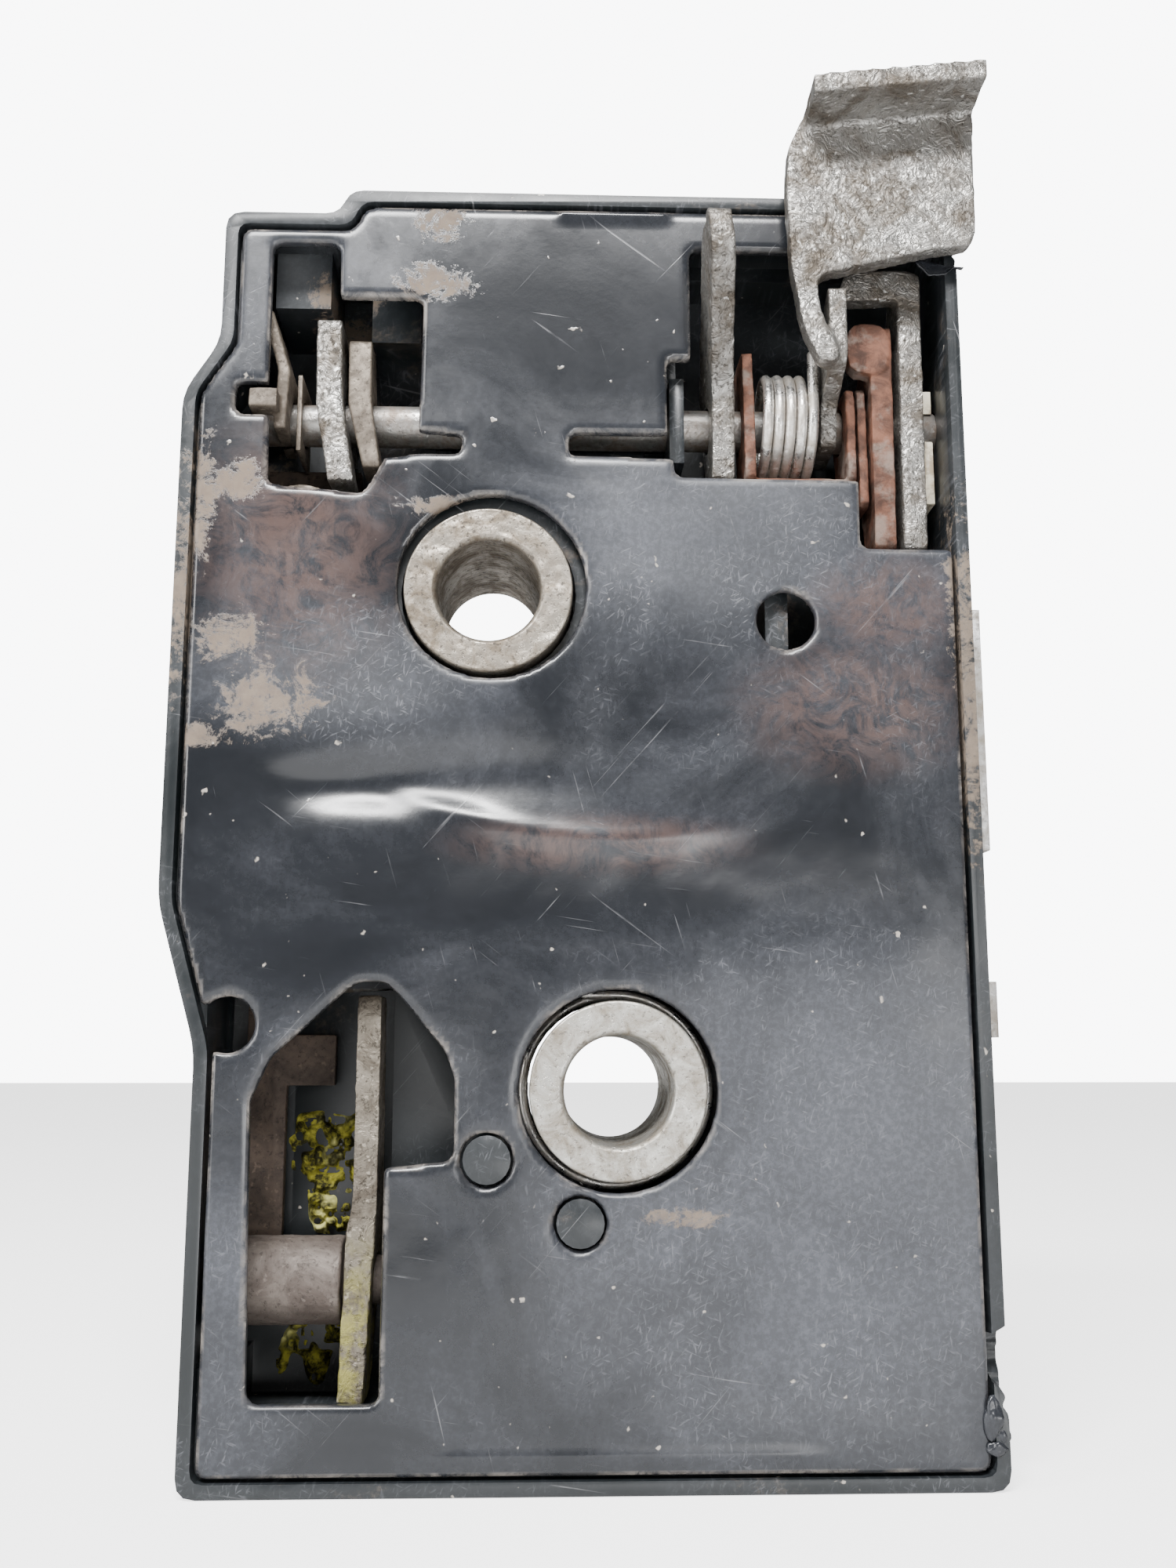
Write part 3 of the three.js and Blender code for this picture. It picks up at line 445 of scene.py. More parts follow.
def grid_faces(rows, columns, wrap_rows=False, wrap_columns=False):
    """Quads that join neighbours on a rows by columns grid, closed round where it wraps."""
    i, j = np.meshgrid(
        np.arange(rows if wrap_rows else rows - 1),
        np.arange(columns if wrap_columns else columns - 1),
        indexing="ij",
    )
    i, j = i.ravel(), j.ravel()
    down, across = (i + 1) % rows, (j + 1) % columns
    return np.stack(
        [i * columns + j, down * columns + j, down * columns + across, i * columns + across], 1
    )


def stain(tree, x, z, wide, tall):
    """A mask that is 1 at the point (x, z) in millimetres and falls to 0 at an ellipse round it."""
    coordinate = tree.nodes.new("ShaderNodeTexCoord")
    mapping = tree.nodes.new("ShaderNodeMapping")
    mapping.vector_type = "TEXTURE"
    mapping.inputs["Location"].default_value = (x * MM, -15.6 * MM, z * MM)
    mapping.inputs["Scale"].default_value = (wide * MM, 1.0, tall * MM)
    length = tree.nodes.new("ShaderNodeVectorMath")
    length.operation = "LENGTH"
    tree.links.new(coordinate.outputs["Object"], mapping.inputs["Vector"])
    tree.links.new(mapping.outputs["Vector"], length.inputs[0])
    return between(tree, length.outputs["Value"], 1.0, 0.15)


def most_of(tree, masks):
    """The largest of several masks."""
    total = masks[0]
    for mask in masks[1:]:
        total = maths(tree, "MAXIMUM", total, mask)
    return total


def black_plastic(
    name, deep, film, dust_cover, rough_low, rough_high, muddy=(), pale=(), warm=(), dark=()
):
    """Aged black plastic: a clouded blue-grey film, scuff lines and dried mud. The last four list
    the places, as (x, z, width, height), that are muddy, rubbed pale, warm toned or left glossy."""
    material, tree, shader = started(name, 0.0, 0.5)
    spot = object_place(tree)
    clouds = between(tree, noise(tree, spot, 55.0, 8.0, 0.66, 0.8), 0.30, 0.74)
    ragged = noise(tree, spot, 300.0, 8.0, 0.78, 1.2)
    if pale:
        rubbed = maths(tree, "MULTIPLY", most_of(tree, [stain(tree, *at) for at in pale]), 0.9)
        clouds = maths(tree, "MULTIPLY_ADD", clouds, 0.55, rubbed, clamp=True)
    if dark:
        calm = most_of(tree, [stain(tree, *at) for at in dark])
        clouds = maths(tree, "MULTIPLY", clouds, maths(tree, "MULTIPLY_ADD", calm, -0.8, 1.0))
    speckle = between(tree, noise(tree, spot, 1900.0, 3.0, 0.7), 0.40, 0.66)
    swirl = between(tree, noise(tree, spot, 38.0, 5.0, 0.6, 1.6), 0.30, 0.70)
    haze = maths(tree, "MULTIPLY", clouds, maths(tree, "MULTIPLY_ADD", speckle, 0.40, 0.60))
    haze = maths(tree, "MULTIPLY", haze, maths(tree, "MULTIPLY_ADD", swirl, 0.75, 0.45))
    colour = blend_colour(tree, haze, deep, film)
    if warm:
        warmed = most_of(tree, [stain(tree, *at) for at in warm])
        tint = maths(tree, "MULTIPLY", warmed, between(tree, ragged, 0.36, 0.60))
        tint = maths(tree, "MULTIPLY", tint, 0.55)
        colour = blend_colour(tree, tint, colour, (0.105, 0.066, 0.055))
    scuffs = placed(tree, scuff_group, Amount=0.34)["Mask"]
    colour = blend_colour(tree, scuffs, colour, (0.26, 0.26, 0.27))
    rub = tree.nodes.new("ShaderNodeAttribute")
    rub.attribute_name = "worn_edge"
    chipped = maths(tree, "MULTIPLY", rub.outputs["Fac"], between(tree, ragged, 0.38, 0.60))
    colour = blend_colour(tree, maths(tree, "MULTIPLY", chipped, 0.75), colour, (0.30, 0.27, 0.24))
    fibres = None
    for turn_angle, drift in ((0.4, 0.0), (-0.5, 0.004), (1.5, 0.009), (-1.2, 0.013)):
        place = object_place(tree, (drift, 0, drift), (760.0, 120.0, 4200.0), turn_angle)
        strand = between(tree, noise(tree, place, 1.0, 2.0, 0.5), 0.60, 0.72)
        fibres = strand if fibres is None else maths(tree, "MAXIMUM", fibres, strand)
    rubbed_area = between(tree, noise(tree, spot, 95.0, 6.0, 0.7, 0.6), 0.36, 0.62)
    bared = maths(tree, "MULTIPLY", rubbed_area, between(tree, clouds, 0.10, 0.8))
    fibres = maths(tree, "MULTIPLY", fibres, bared)
    colour = blend_colour(tree, maths(tree, "MULTIPLY", fibres, 0.34), colour, (0.19, 0.195, 0.215))
    dust = placed(tree, dust_group, Scale=90.0, Cover=dust_cover)["Mask"]
    if muddy:
        near = most_of(tree, [stain(tree, *at) for at in muddy])
        thin = maths(tree, "MULTIPLY_ADD", noise(tree, spot, 1500.0, 4.0, 0.75), 0.5, ragged)
        cake = between(tree, maths(tree, "MULTIPLY_ADD", near, 0.34, thin), 0.96, 1.12)
        dust = maths(tree, "MAXIMUM", maths(tree, "MULTIPLY", dust, 0.5), cake)
    crumbs = noise(tree, spot, 900.0, 3.0)
    mud = blend_colour(tree, crumbs, (0.13, 0.095, 0.07), (0.29, 0.225, 0.165))
    colour = blend_colour(tree, maths(tree, "MULTIPLY", dust, 0.62), colour, mud)
    grit = between(tree, noise(tree, spot, 820.0, 2.0, 0.5), 0.735, 0.78)
    colour = blend_colour(tree, maths(tree, "MULTIPLY", grit, 0.7), colour, (0.42, 0.38, 0.33))
    tree.links.new(colour, shader.inputs["Base Color"])
    gloss = blend_value(tree, clouds, rough_low, rough_high)
    matt = maths(tree, "MAXIMUM", gloss, maths(tree, "MULTIPLY", dust, 0.9))
    tree.links.new(matt, shader.inputs["Roughness"])
    grain = noise(tree, spot, 700.0, 5.0, 0.7)
    cuts = maths(tree, "ADD", scuffs, fibres)
    height = maths(tree, "MULTIPLY_ADD", cuts, -0.35, maths(tree, "MULTIPLY", grain, 0.45))
    caked = maths(tree, "MULTIPLY", maths(tree, "ADD", dust, grit), 0.9)
    height = maths(tree, "ADD", height, caked)
    raised(tree, shader, height, 0.25, 0.08 * MM)
    return material


case_plastic = black_plastic(
    "housing_plastic", (0.006, 0.008, 0.009), (0.026, 0.029, 0.033), 0.44, 0.28, 0.52,
    muddy=(
        (-30.0, 31.0, 9.0, 9.0),
        (-33.5, 18.0, 6.0, 18.0),
        (-21.0, 47.0, 7.0, 5.0),
        (33.8, 10.0, 3.0, 30.0),
    ),
)


def face_outwards(mesh):
    """Turns the faces of a closed mesh so that they all face out."""
    work = bmesh.new()
    work.from_mesh(mesh)
    bmesh.ops.recalc_face_normals(work, faces=work.faces)
    work.to_mesh(mesh)
    work.free()


def join_corners(mesh):
    """Joins the corners of neighbouring faces that lie within 2 micrometres of each other."""
    work = bmesh.new()
    work.from_mesh(mesh)
    bmesh.ops.remove_doubles(work, verts=work.verts, dist=0.002 * MM)
    work.to_mesh(mesh)
    work.free()


def cracked_bar(name, z, x_edge, y_front, y_depth):
    """A ragged bar that stands for the plastic that broke away: a four-cornered section along z,
    its inner and rear corners moved by noise."""
    count = len(z)
    along = np.stack([z * 0, z * 0, z * MM], 1)
    bite = 1.5 * ripple(along, 2.3 * MM, 83, 3)
    taper = np.clip(np.minimum(z - z[0], z[-1] - z) / 2.4, 0.0, 1.0)
    inner = x_edge + (1 - taper) * 2.2 + bite
    rear = y_depth - (1 - taper) * 1.6 + 1.4 * ripple(along, 1.7 * MM, 89, 3)
    outer = np.full(count, 36.0)
    front = np.full(count, y_front)
    corners = ((inner, front), (outer, front), (outer, rear), (inner + 0.5, rear))
    rows = [np.stack([a, b, z], 1) for a, b in corners]
    points = np.stack(rows, 1).reshape(-1, 3) * MM
    faces = grid_faces(count, 4, wrap_columns=True).tolist()
    mesh = bpy.data.meshes.new(name)
    ends = [[0, 1, 2, 3], [4 * count - 1 - k for k in range(4)]]
    mesh.from_pydata(points.tolist(), [], faces + ends)
    face_outwards(mesh)
    bar = bpy.data.objects.new(name, mesh)
    bpy.context.scene.collection.objects.link(bar)
    return bar


shell = nodes["housing"].data.copy()
join_corners(shell)
housing_shell = bpy.data.objects.new("housing_shell", shell)
bpy.context.scene.collection.objects.link(housing_shell)
bars = [
    cracked_bar("crack_low", np.linspace(-51.6, -41.5, 60), 33.5, -17.2, -13.6),
    cracked_bar("crack_corner", np.linspace(45.6, 52.4, 40), 33.6, -17.2, -15.2),
]
for bar in bars:
    bite = housing_shell.modifiers.new("bite", "BOOLEAN")
    bite.operation = "DIFFERENCE"
    bite.solver = "EXACT"
    bite.object = bar
bpy.context.view_layer.update()
scene_graph = bpy.context.evaluated_depsgraph_get()
bitten = bpy.data.meshes.new_from_object(housing_shell.evaluated_get(scene_graph))
housing_shell.modifiers.clear()
housing_shell.data = bitten
for bar in bars:
    bpy.data.objects.remove(bar)
stand_for(housing_shell, "housing")
clad(housing_shell, case_plastic)
eased(housing_shell, 0.14 * MM, 2)

# ---------------------------------------------------------------------------
# The two through sleeves: turned steel tube with a 9 mm bore, chamfered both ends.
# A fine turning groove runs round the bore; the upper one is pitted and tan.


def turned_sleeve(name, node, chamfer, rough, seed):
    """Tube of revolution about the node's Y axis: radius and depth go round a chamfered section,
    with a fine sine groove added along the bore and the cover-side end pitted by noise."""
    near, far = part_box(node)
    centre = np.array([(near.x + far.x) / 2, (near.z + far.z) / 2])
    outer, bore = (far.x - near.x) / 2, 4.5 * MM
    y0, y1, c = near.y, far.y, chamfer
    section = [
        np.stack([np.linspace(bore + c, outer - 0.25 * MM, 26), np.full(26, y0)], 1),
        np.stack([
            np.linspace(outer - 0.1 * MM, outer, 3),
            np.linspace(y0 + 0.02 * MM, y0 + 0.2 * MM, 3),
        ], 1),
        np.stack([np.full(14, outer), np.linspace(y0 + 0.6 * MM, y1 - 0.5 * MM, 14)], 1),
        np.stack([np.linspace(outer - 0.25 * MM, bore + c, 10), np.full(10, y1)], 1),
        np.stack([np.full(90, bore), np.linspace(y1 - c, y0 + c, 90)], 1),
    ]
    ring = np.concatenate(section)
    count, around = len(ring), 128
    groove_pitch, groove_depth = 0.62 * MM, 0.035 * MM
    angle = np.linspace(0, 2 * np.pi, around, endpoint=False)
    radius = ring[:, 0][:, None].repeat(around, 1)
    depth = ring[:, 1][:, None].repeat(around, 1)
    in_bore = radius < bore + 0.01 * MM
    groove = groove_depth * np.sin(depth / groove_pitch * 2 * np.pi + 0.2 * angle)
    radius = radius + np.where(in_bore, groove, 0)
    x, z = centre[0] + radius * np.cos(angle), centre[1] + radius * np.sin(angle)
    points = np.stack([x, depth, z], 2).reshape(-1, 3)
    wear = ripple(points, 1.1 * MM, seed, 3)
    at_front = points[:, 1] < y0 + 0.01 * MM
    points[:, 1] += np.where(at_front, np.clip(rough * (wear + 0.25), 0, None), 0)
    piece = new_piece(name, points, grid_faces(count, around, wrap_rows=True, wrap_columns=True))
    return stand_for(piece, node)


def sleeve_metal(name, base, stain, dirt):
    """Turned steel: blotches of stain on the base colour, with dark dirt in the low spots."""
    material, tree, shader = started(name, 0.85)
    marks = placed(tree, mottle_group, Scale=420.0)
    spot = object_place(tree)
    colour = blend_colour(tree, marks["Blotch"], stain, base)
    dark = maths(tree, "MULTIPLY", marks["Pits"], dirt)
    colour = blend_colour(tree, dark, colour, (0.05, 0.042, 0.034))
    tree.links.new(colour, shader.inputs["Base Color"])
    tree.links.new(blend_value(tree, marks["Blotch"], 0.60, 0.34), shader.inputs["Roughness"])
    tree.links.new(blend_value(tree, dark, 0.85, 0.3), shader.inputs["Metallic"])
    height = maths(tree, "MULTIPLY_ADD", marks["Pits"], -0.8, noise(tree, spot, 1300.0, 4.0, 0.7))
    raised(tree, shader, height, 0.5, 0.10 * MM)
    return material


upper = turned_sleeve("upper_sleeve_turned", "upper_sleeve", 0.35 * MM, 0.16 * MM, 11)
clad(upper, sleeve_metal("sleeve_tan", (0.33, 0.30, 0.255), (0.13, 0.105, 0.078), 0.95))
lower = turned_sleeve("lower_sleeve_turned", "lower_sleeve", 0.35 * MM, 0.06 * MM, 23)
clad(lower, sleeve_metal("sleeve_bright", (0.50, 0.49, 0.455), (0.22, 0.19, 0.15), 0.7))

# ---------------------------------------------------------------------------
# Fork bolt and pawl: blanked from 3 mm steel and hardened. Each turns on its sleeve and is driven
# by a coil of fine wire.


def weathered(name, node, voxel, relief, grain, seed, soften=2):
    """A worn copy of a cut blank: remeshed on a fine lattice so its edges round off, then each
    point moved along its normal by noise of the given grain and relief."""
    blank = nodes[node].data.copy()
    join_corners(blank)
    holder = bpy.data.objects.new(name + "_blank", blank)
    bpy.context.scene.collection.objects.link(holder)
    remesh = holder.modifiers.new("remesh", "REMESH")
    remesh.mode = "VOXEL"
    remesh.voxel_size = voxel
    smooth = holder.modifiers.new("smooth", "SMOOTH")
    smooth.factor = 0.5
    smooth.iterations = soften
    fine = holder.evaluated_get(bpy.context.evaluated_depsgraph_get()).to_mesh()
    count = len(fine.vertices)
    points, normals = np.empty(count * 3), np.empty(count * 3)
    fine.vertices.foreach_get("co", points)
    fine.vertices.foreach_get("normal", normals)
    faces = np.empty(len(fine.loops), np.int32)
    fine.loops.foreach_get("vertex_index", faces)
    points, normals = points.reshape(-1, 3), normals.reshape(-1, 3)
    points = points + normals * (relief * (ripple(points, grain, seed) - 0.2))[:, None]
    near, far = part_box(node)
    points = np.clip(points, np.array(near), np.array(far))
    piece = new_piece(name, points, faces.reshape(-1, 4))
    bpy.data.objects.remove(holder)
    bpy.data.meshes.remove(blank)
    return stand_for(piece, node)


def coil_spring(name, node, radius, wire, turns, pitch, start, legs, frame_of):
    """A round wire swept along a coil with a straight tangent leg off each end; the wire's
    section is a circle set square to the path, closed by a rounded tip at each end."""
    step = np.linspace(0, 1, 60 * int(turns + 2))
    share, sides = 0.12, 14
    s = np.clip((step - share) / (1 - 2 * share), 0, 1)
    angle = start + s * turns * 2 * np.pi
    reach = np.where(step < share, -(share - step) / share * legs[0], 0.0)
    reach = np.where(step > 1 - share, (step - 1 + share) / share * legs[1], reach)
    along = s * turns * pitch
    u, v = radius * np.cos(angle), radius * np.sin(angle)
    path = frame_of(along, u - reach * np.sin(angle), v + reach * np.cos(angle))
    tangent = np.gradient(path, axis=0)
    tangent /= np.linalg.norm(tangent, axis=1)[:, None]
    zero = angle * 0
    outward = frame_of(zero, np.cos(angle), np.sin(angle)) - frame_of(zero, zero, zero)
    outward -= tangent * np.sum(outward * tangent, 1)[:, None]
    outward /= np.linalg.norm(outward, axis=1)[:, None]
    third = np.cross(tangent, outward)
    tip = np.array([0.02, 0.45, 0.8, 1.0])
    swell = np.ones(len(step))
    swell[:4], swell[-4:] = tip, tip[::-1]
    round_angle = np.linspace(0, 2 * np.pi, sides, endpoint=False)
    rim = outward[:, None, :] * np.cos(round_angle)[None, :, None]
    rim = rim + third[:, None, :] * np.sin(round_angle)[None, :, None]
    points = path[:, None, :] + rim * (wire * swell)[:, None, None]
    rows = len(step)
    side_faces = grid_faces(rows, sides, wrap_columns=True).tolist()
    caps = [list(range(sides)), [(rows - 1) * sides + k for k in range(sides)][::-1]]
    mesh = bpy.data.meshes.new(name)
    mesh.from_pydata(points.reshape(-1, 3).tolist(), [], side_faces + caps)
    face_outwards(mesh)
    mesh.polygons.foreach_set("use_smooth", np.full(len(mesh.polygons), True))
    piece = bpy.data.objects.new(name, mesh)
    bpy.context.scene.collection.objects.link(piece)
    return stand_for(piece, node)


spring_wire = steel(
    "spring_wire", (0.74, 0.73, 0.71), (0.42, 0.38, 0.33), 0.22,
    scale=500.0, pit_strength=0.3, metallic=1.0, specks=0.4,
)
hardened = steel("hardened_steel", (0.36, 0.35, 0.34), (0.16, 0.13, 0.11), 0.38)
for name in ("fork_bolt", "pawl"):
    clad(nodes[name], hardened)
    eased(nodes[name], 0.25 * MM)
near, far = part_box("lower_sleeve")
centre = ((near.x + far.x) / 2, (near.z + far.z) / 2)
fork_coil = coil_spring(
    "fork_coil", "fork_spring", radius=7.86 * MM, wire=0.36 * MM, turns=3.5, pitch=0.936 * MM,
    start=-math.pi / 2, legs=(3 * MM, 3 * MM),
    frame_of=lambda a, u, v: np.stack([centre[0] + u, -8.8 * MM - a, centre[1] + v], 1),
)
clad(fork_coil, spring_wire)
near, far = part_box("upper_sleeve")
middle = ((near.x + far.x) / 2, (near.z + far.z) / 2)
pawl_coil = coil_spring(
    "pawl_coil", "pawl_spring", radius=9.66 * MM, wire=0.36 * MM, turns=2.5, pitch=0.936 * MM,
    start=math.pi / 2, legs=(3 * MM, 3 * MM),
    frame_of=lambda a, u, v: np.stack([middle[0] + u, -8.8 * MM - a, middle[1] + v], 1),
)
clad(pawl_coil, spring_wire)

# ---------------------------------------------------------------------------
# The lever rod and the release levers on it: zinc castings with soft edges and a
# grainy skin, and between them pressed steel parts that have rusted copper brown.
zinc = steel(
    "cast_zinc", (0.33, 0.322, 0.305), (0.085, 0.070, 0.054), 0.30,
    scale=230.0, pit_strength=0.75, metallic=0.92, specks=0.9, crinkle=1.0,
)
rust, tree, shader = started("rusted_steel", 0.15, 0.35)
marks = placed(tree, mottle_group, Scale=420.0)
colour = blend_colour(tree, marks["Blotch"], (0.040, 0.017, 0.010), (0.155, 0.066, 0.040))
grey = between(tree, noise(tree, object_place(tree), 240.0, 5.0, 0.65), 0.50, 0.64)
colour = blend_colour(tree, maths(tree, "MULTIPLY", grey, 0.6), colour, (0.20, 0.165, 0.14))
tree.links.new(colour, shader.inputs["Base Color"])
shader.inputs["Roughness"].default_value = 0.72
raised(tree, shader, noise(tree, object_place(tree), 1600.0, 5.0, 0.75), 0.8, 0.10 * MM)
rod_steel = steel("rod_steel", (0.42, 0.41, 0.39), (0.18, 0.14, 0.11), 0.32)
clad(nodes["lever_rod"], rod_steel)
eased(nodes["lever_rod"], 0.3 * MM, 2, 50.0)
for name, node, seed in (
    ("inside_lever_cast", "inside_lever", 3),
    ("outside_lever_cast", "outside_lever", 5),
    ("lock_lever_cast", "lock_lever", 9),
):
    clad(weathered(name, node, 0.22 * MM, 0.12 * MM, 1.3 * MM, seed), zinc)
for name, node, seed in (
    ("release_saddle_worn", "release_saddle", 13),
    ("release_arm_worn", "release_arm", 17),
    ("coupler_lever_worn", "coupler_lever", 19),
):
    clad(weathered(name, node, 0.16 * MM, 0.10 * MM, 0.9 * MM, seed), rust)
nylon, tree, shader = started("nylon", 0.0, 0.5)
film = placed(tree, dust_group, Scale=300.0, Cover=0.6)["Mask"]
colour = blend_colour(tree, film, (0.70, 0.64, 0.50), (0.36, 0.29, 0.20))
tree.links.new(colour, shader.inputs["Base Color"])
shader.inputs["Roughness"].default_value = 0.5
shader.inputs["Subsurface Weight"].default_value = 0.12
shader.inputs["Subsurface Radius"].default_value = (0.001, 0.0008, 0.0005)
clad(nodes["nylon_guide"], nylon)
eased(nodes["nylon_guide"], 0.15 * MM)
lever_coil = coil_spring(
    "lever_coil", "return_spring", radius=4.7 * MM, wire=0.49 * MM, turns=4.5, pitch=1.02 * MM,
    start=0.0, legs=(7.5 * MM, 6.0 * MM),
    frame_of=lambda a, u, v: np.stack([16.85 * MM + a, -9.6 * MM + u, 35.5 * MM - v], 1),
)
clad(lever_coil, spring_wire)

# ---------------------------------------------------------------------------
# Locking levers, upper left: a cast lever and a pressed one on the rod, a thin
# bracket, a detent leaf and a pivot disc, all under a film of tan mud.
muddy = steel(
    "muddy_steel", (0.19, 0.16, 0.128), (0.065, 0.05, 0.036), 0.5,
    scale=320.0, pit_strength=0.7, metallic=0.6, specks=0.6,
)
clad(weathered("sill_lever_cast", "sill_lever", 0.18 * MM, 0.10 * MM, 1.1 * MM, 29), zinc)
for name, node, relief, seed in (
    ("sill_plate_worn", "sill_plate", 0.02, 31),
    ("lock_bracket_worn", "lock_bracket", 0.08, 37),
    ("pivot_disc_worn", "pivot_disc", 0.08, 41),
):
    clad(weathered(name, node, 0.16 * MM, relief * MM, 0.9 * MM, seed), muddy)
clad(nodes["detent_leaf"], muddy)
eased(nodes["detent_leaf"], 0.08 * MM)

# ---------------------------------------------------------------------------
# Key shaft, key lever and the lock link that joins it to the levers above.
# The shaft is browned steel; the casting's lower end is stained yellow green.
brown = steel(
    "brown_steel", (0.145, 0.122, 0.105), (0.06, 0.045, 0.037), 0.55,
    scale=260.0, pit_strength=0.6, metallic=0.4, specks=0.35,
)
clad(weathered("key_shaft_worn", "key_shaft", 0.18 * MM, 0.10 * MM, 1.2 * MM, 43), brown)
key_zinc = steel(
    "key_zinc", (0.205, 0.182, 0.148), (0.060, 0.047, 0.033), 0.42,
    scale=300.0, pit_strength=0.75, metallic=0.75, specks=0.8, crinkle=0.8,
)
tree = key_zinc.node_tree
shader = tree.nodes["Principled BSDF"]
metal_colour = shader.inputs["Base Color"].links[0].from_socket
axes = tree.nodes.new("ShaderNodeSeparateXYZ")
tree.links.new(object_place(tree), axes.inputs[0])
below = between(tree, axes.outputs[2], -34.0 * MM, -45.0 * MM)
patchy = between(tree, noise(tree, object_place(tree), 500.0, 5.0, 0.7), 0.40, 0.62)
tree.links.new(
    blend_colour(tree, maths(tree, "MULTIPLY", below, patchy), metal_colour, (0.25, 0.23, 0.07)),
    shader.inputs["Base Color"],
)
clad(weathered("key_lever_cast", "key_lever", 0.18 * MM, 0.10 * MM, 1.1 * MM, 47), key_zinc)
grimy = steel(
    "grimy_steel", (0.075, 0.052, 0.038), (0.030, 0.020, 0.014), 0.6,
    scale=320.0, pit_strength=0.7, metallic=0.4, specks=0.6,
)
clad(nodes["lock_link"], grimy)
eased(nodes["lock_link"], 0.15 * MM)

# ---------------------------------------------------------------------------
# Moss and grit that has settled on the floor of the key well, in two beds.


def pillow(name, front, back, body):
    """A closed mesh between two grids of points of the same size, joined round their border."""
    nx, nz = front.shape[:2]
    count = nx * nz
    top = grid_faces(nx, nz)
    under = top[:, ::-1] + count
    order = np.arange(count).reshape(nx, nz)
    loop = np.concatenate([order[:, 0], order[-1, 1:], order[-2::-1, -1], order[0, -2:0:-1]])
    after = np.roll(loop, -1)
    wall = np.stack([loop, after, after + count, loop + count], 1)
    points = np.concatenate([front.reshape(-1, 3), back.reshape(-1, 3)])
    piece = new_piece(name, points, np.concatenate([top, under, wall]))
    face_outwards(piece.data)
    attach(piece, body)
    return piece


def moss_bed(name, x0, x1, z0, z1, floor, seed):
    """A closed pillow of grains on the well floor: front = floor + 0.15 mm - height, where height
    is a squared sine window over the bed, cut ragged by coarse noise, times rounded grains."""
    nx, nz = 160, int(160 * (z1 - z0) / (x1 - x0))
    x, z = np.meshgrid(np.linspace(x0, x1, nx), np.linspace(z0, z1, nz), indexing="ij")
    flat = np.stack([x.ravel(), np.zeros(x.size), z.ravel()], 1)
    u, w = (x - x0) / (x1 - x0), (z - z0) / (z1 - z0)
    window = np.sin(np.pi * u) ** 0.5 * np.sin(np.pi * w) ** 0.5
    coarse = lattice_noise(flat, 1.7 * MM, seed).reshape(x.shape)
    ragged = np.clip(2.6 * (coarse + 0.75 * window - 0.86), 0, 1)
    grain = lattice_noise(flat, 0.62 * MM, seed + 1).reshape(x.shape)
    fine = lattice_noise(flat, 0.26 * MM, seed + 2).reshape(x.shape)
    lump = np.clip(1.9 * (grain - 0.30), 0, 1) ** 0.7
    height = ragged * (1.15 * lump + 0.30 * fine) * MM
    front = np.stack([x, floor + 0.15 * MM - height, z], 2)
    back = np.stack([x, np.full(x.shape, floor + 0.3 * MM), z], 2)
    return pillow(name, front, back, "case")


moss, tree, shader = started("moss", 0.0, 0.25)
spot = object_place(tree)
tone = between(tree, noise(tree, spot, 900.0, 4.0, 0.7), 0.40, 0.66)
colour = blend_colour(tree, tone, (0.022, 0.020, 0.006), (0.40, 0.37, 0.045))
tips = between(tree, noise(tree, spot, 260.0, 4.0, 0.6), 0.52, 0.70)
colour = blend_colour(tree, tips, colour, (0.62, 0.60, 0.22))
tree.links.new(colour, shader.inputs["Base Color"])
shader.inputs["Roughness"].default_value = 0.8
well_floor = -3.3 * MM
for name, x0, x1, z0, z1, seed in (
    ("moss_upper", -25.8, -17.9, -38.0, -26.2, 61),
    ("moss_lower", -25.6, -18.0, -50.0, -44.2, 67),
):
    clad(moss_bed(name, x0 * MM, x1 * MM, z0 * MM, z1 * MM, well_floor, seed), moss)

# ---------------------------------------------------------------------------
# Rear cover: thin black sheet moulding, warped by heat so its gloss runs in waves.
# It is dented inwards between the sleeves and scuffed, with mud dried on its left side.


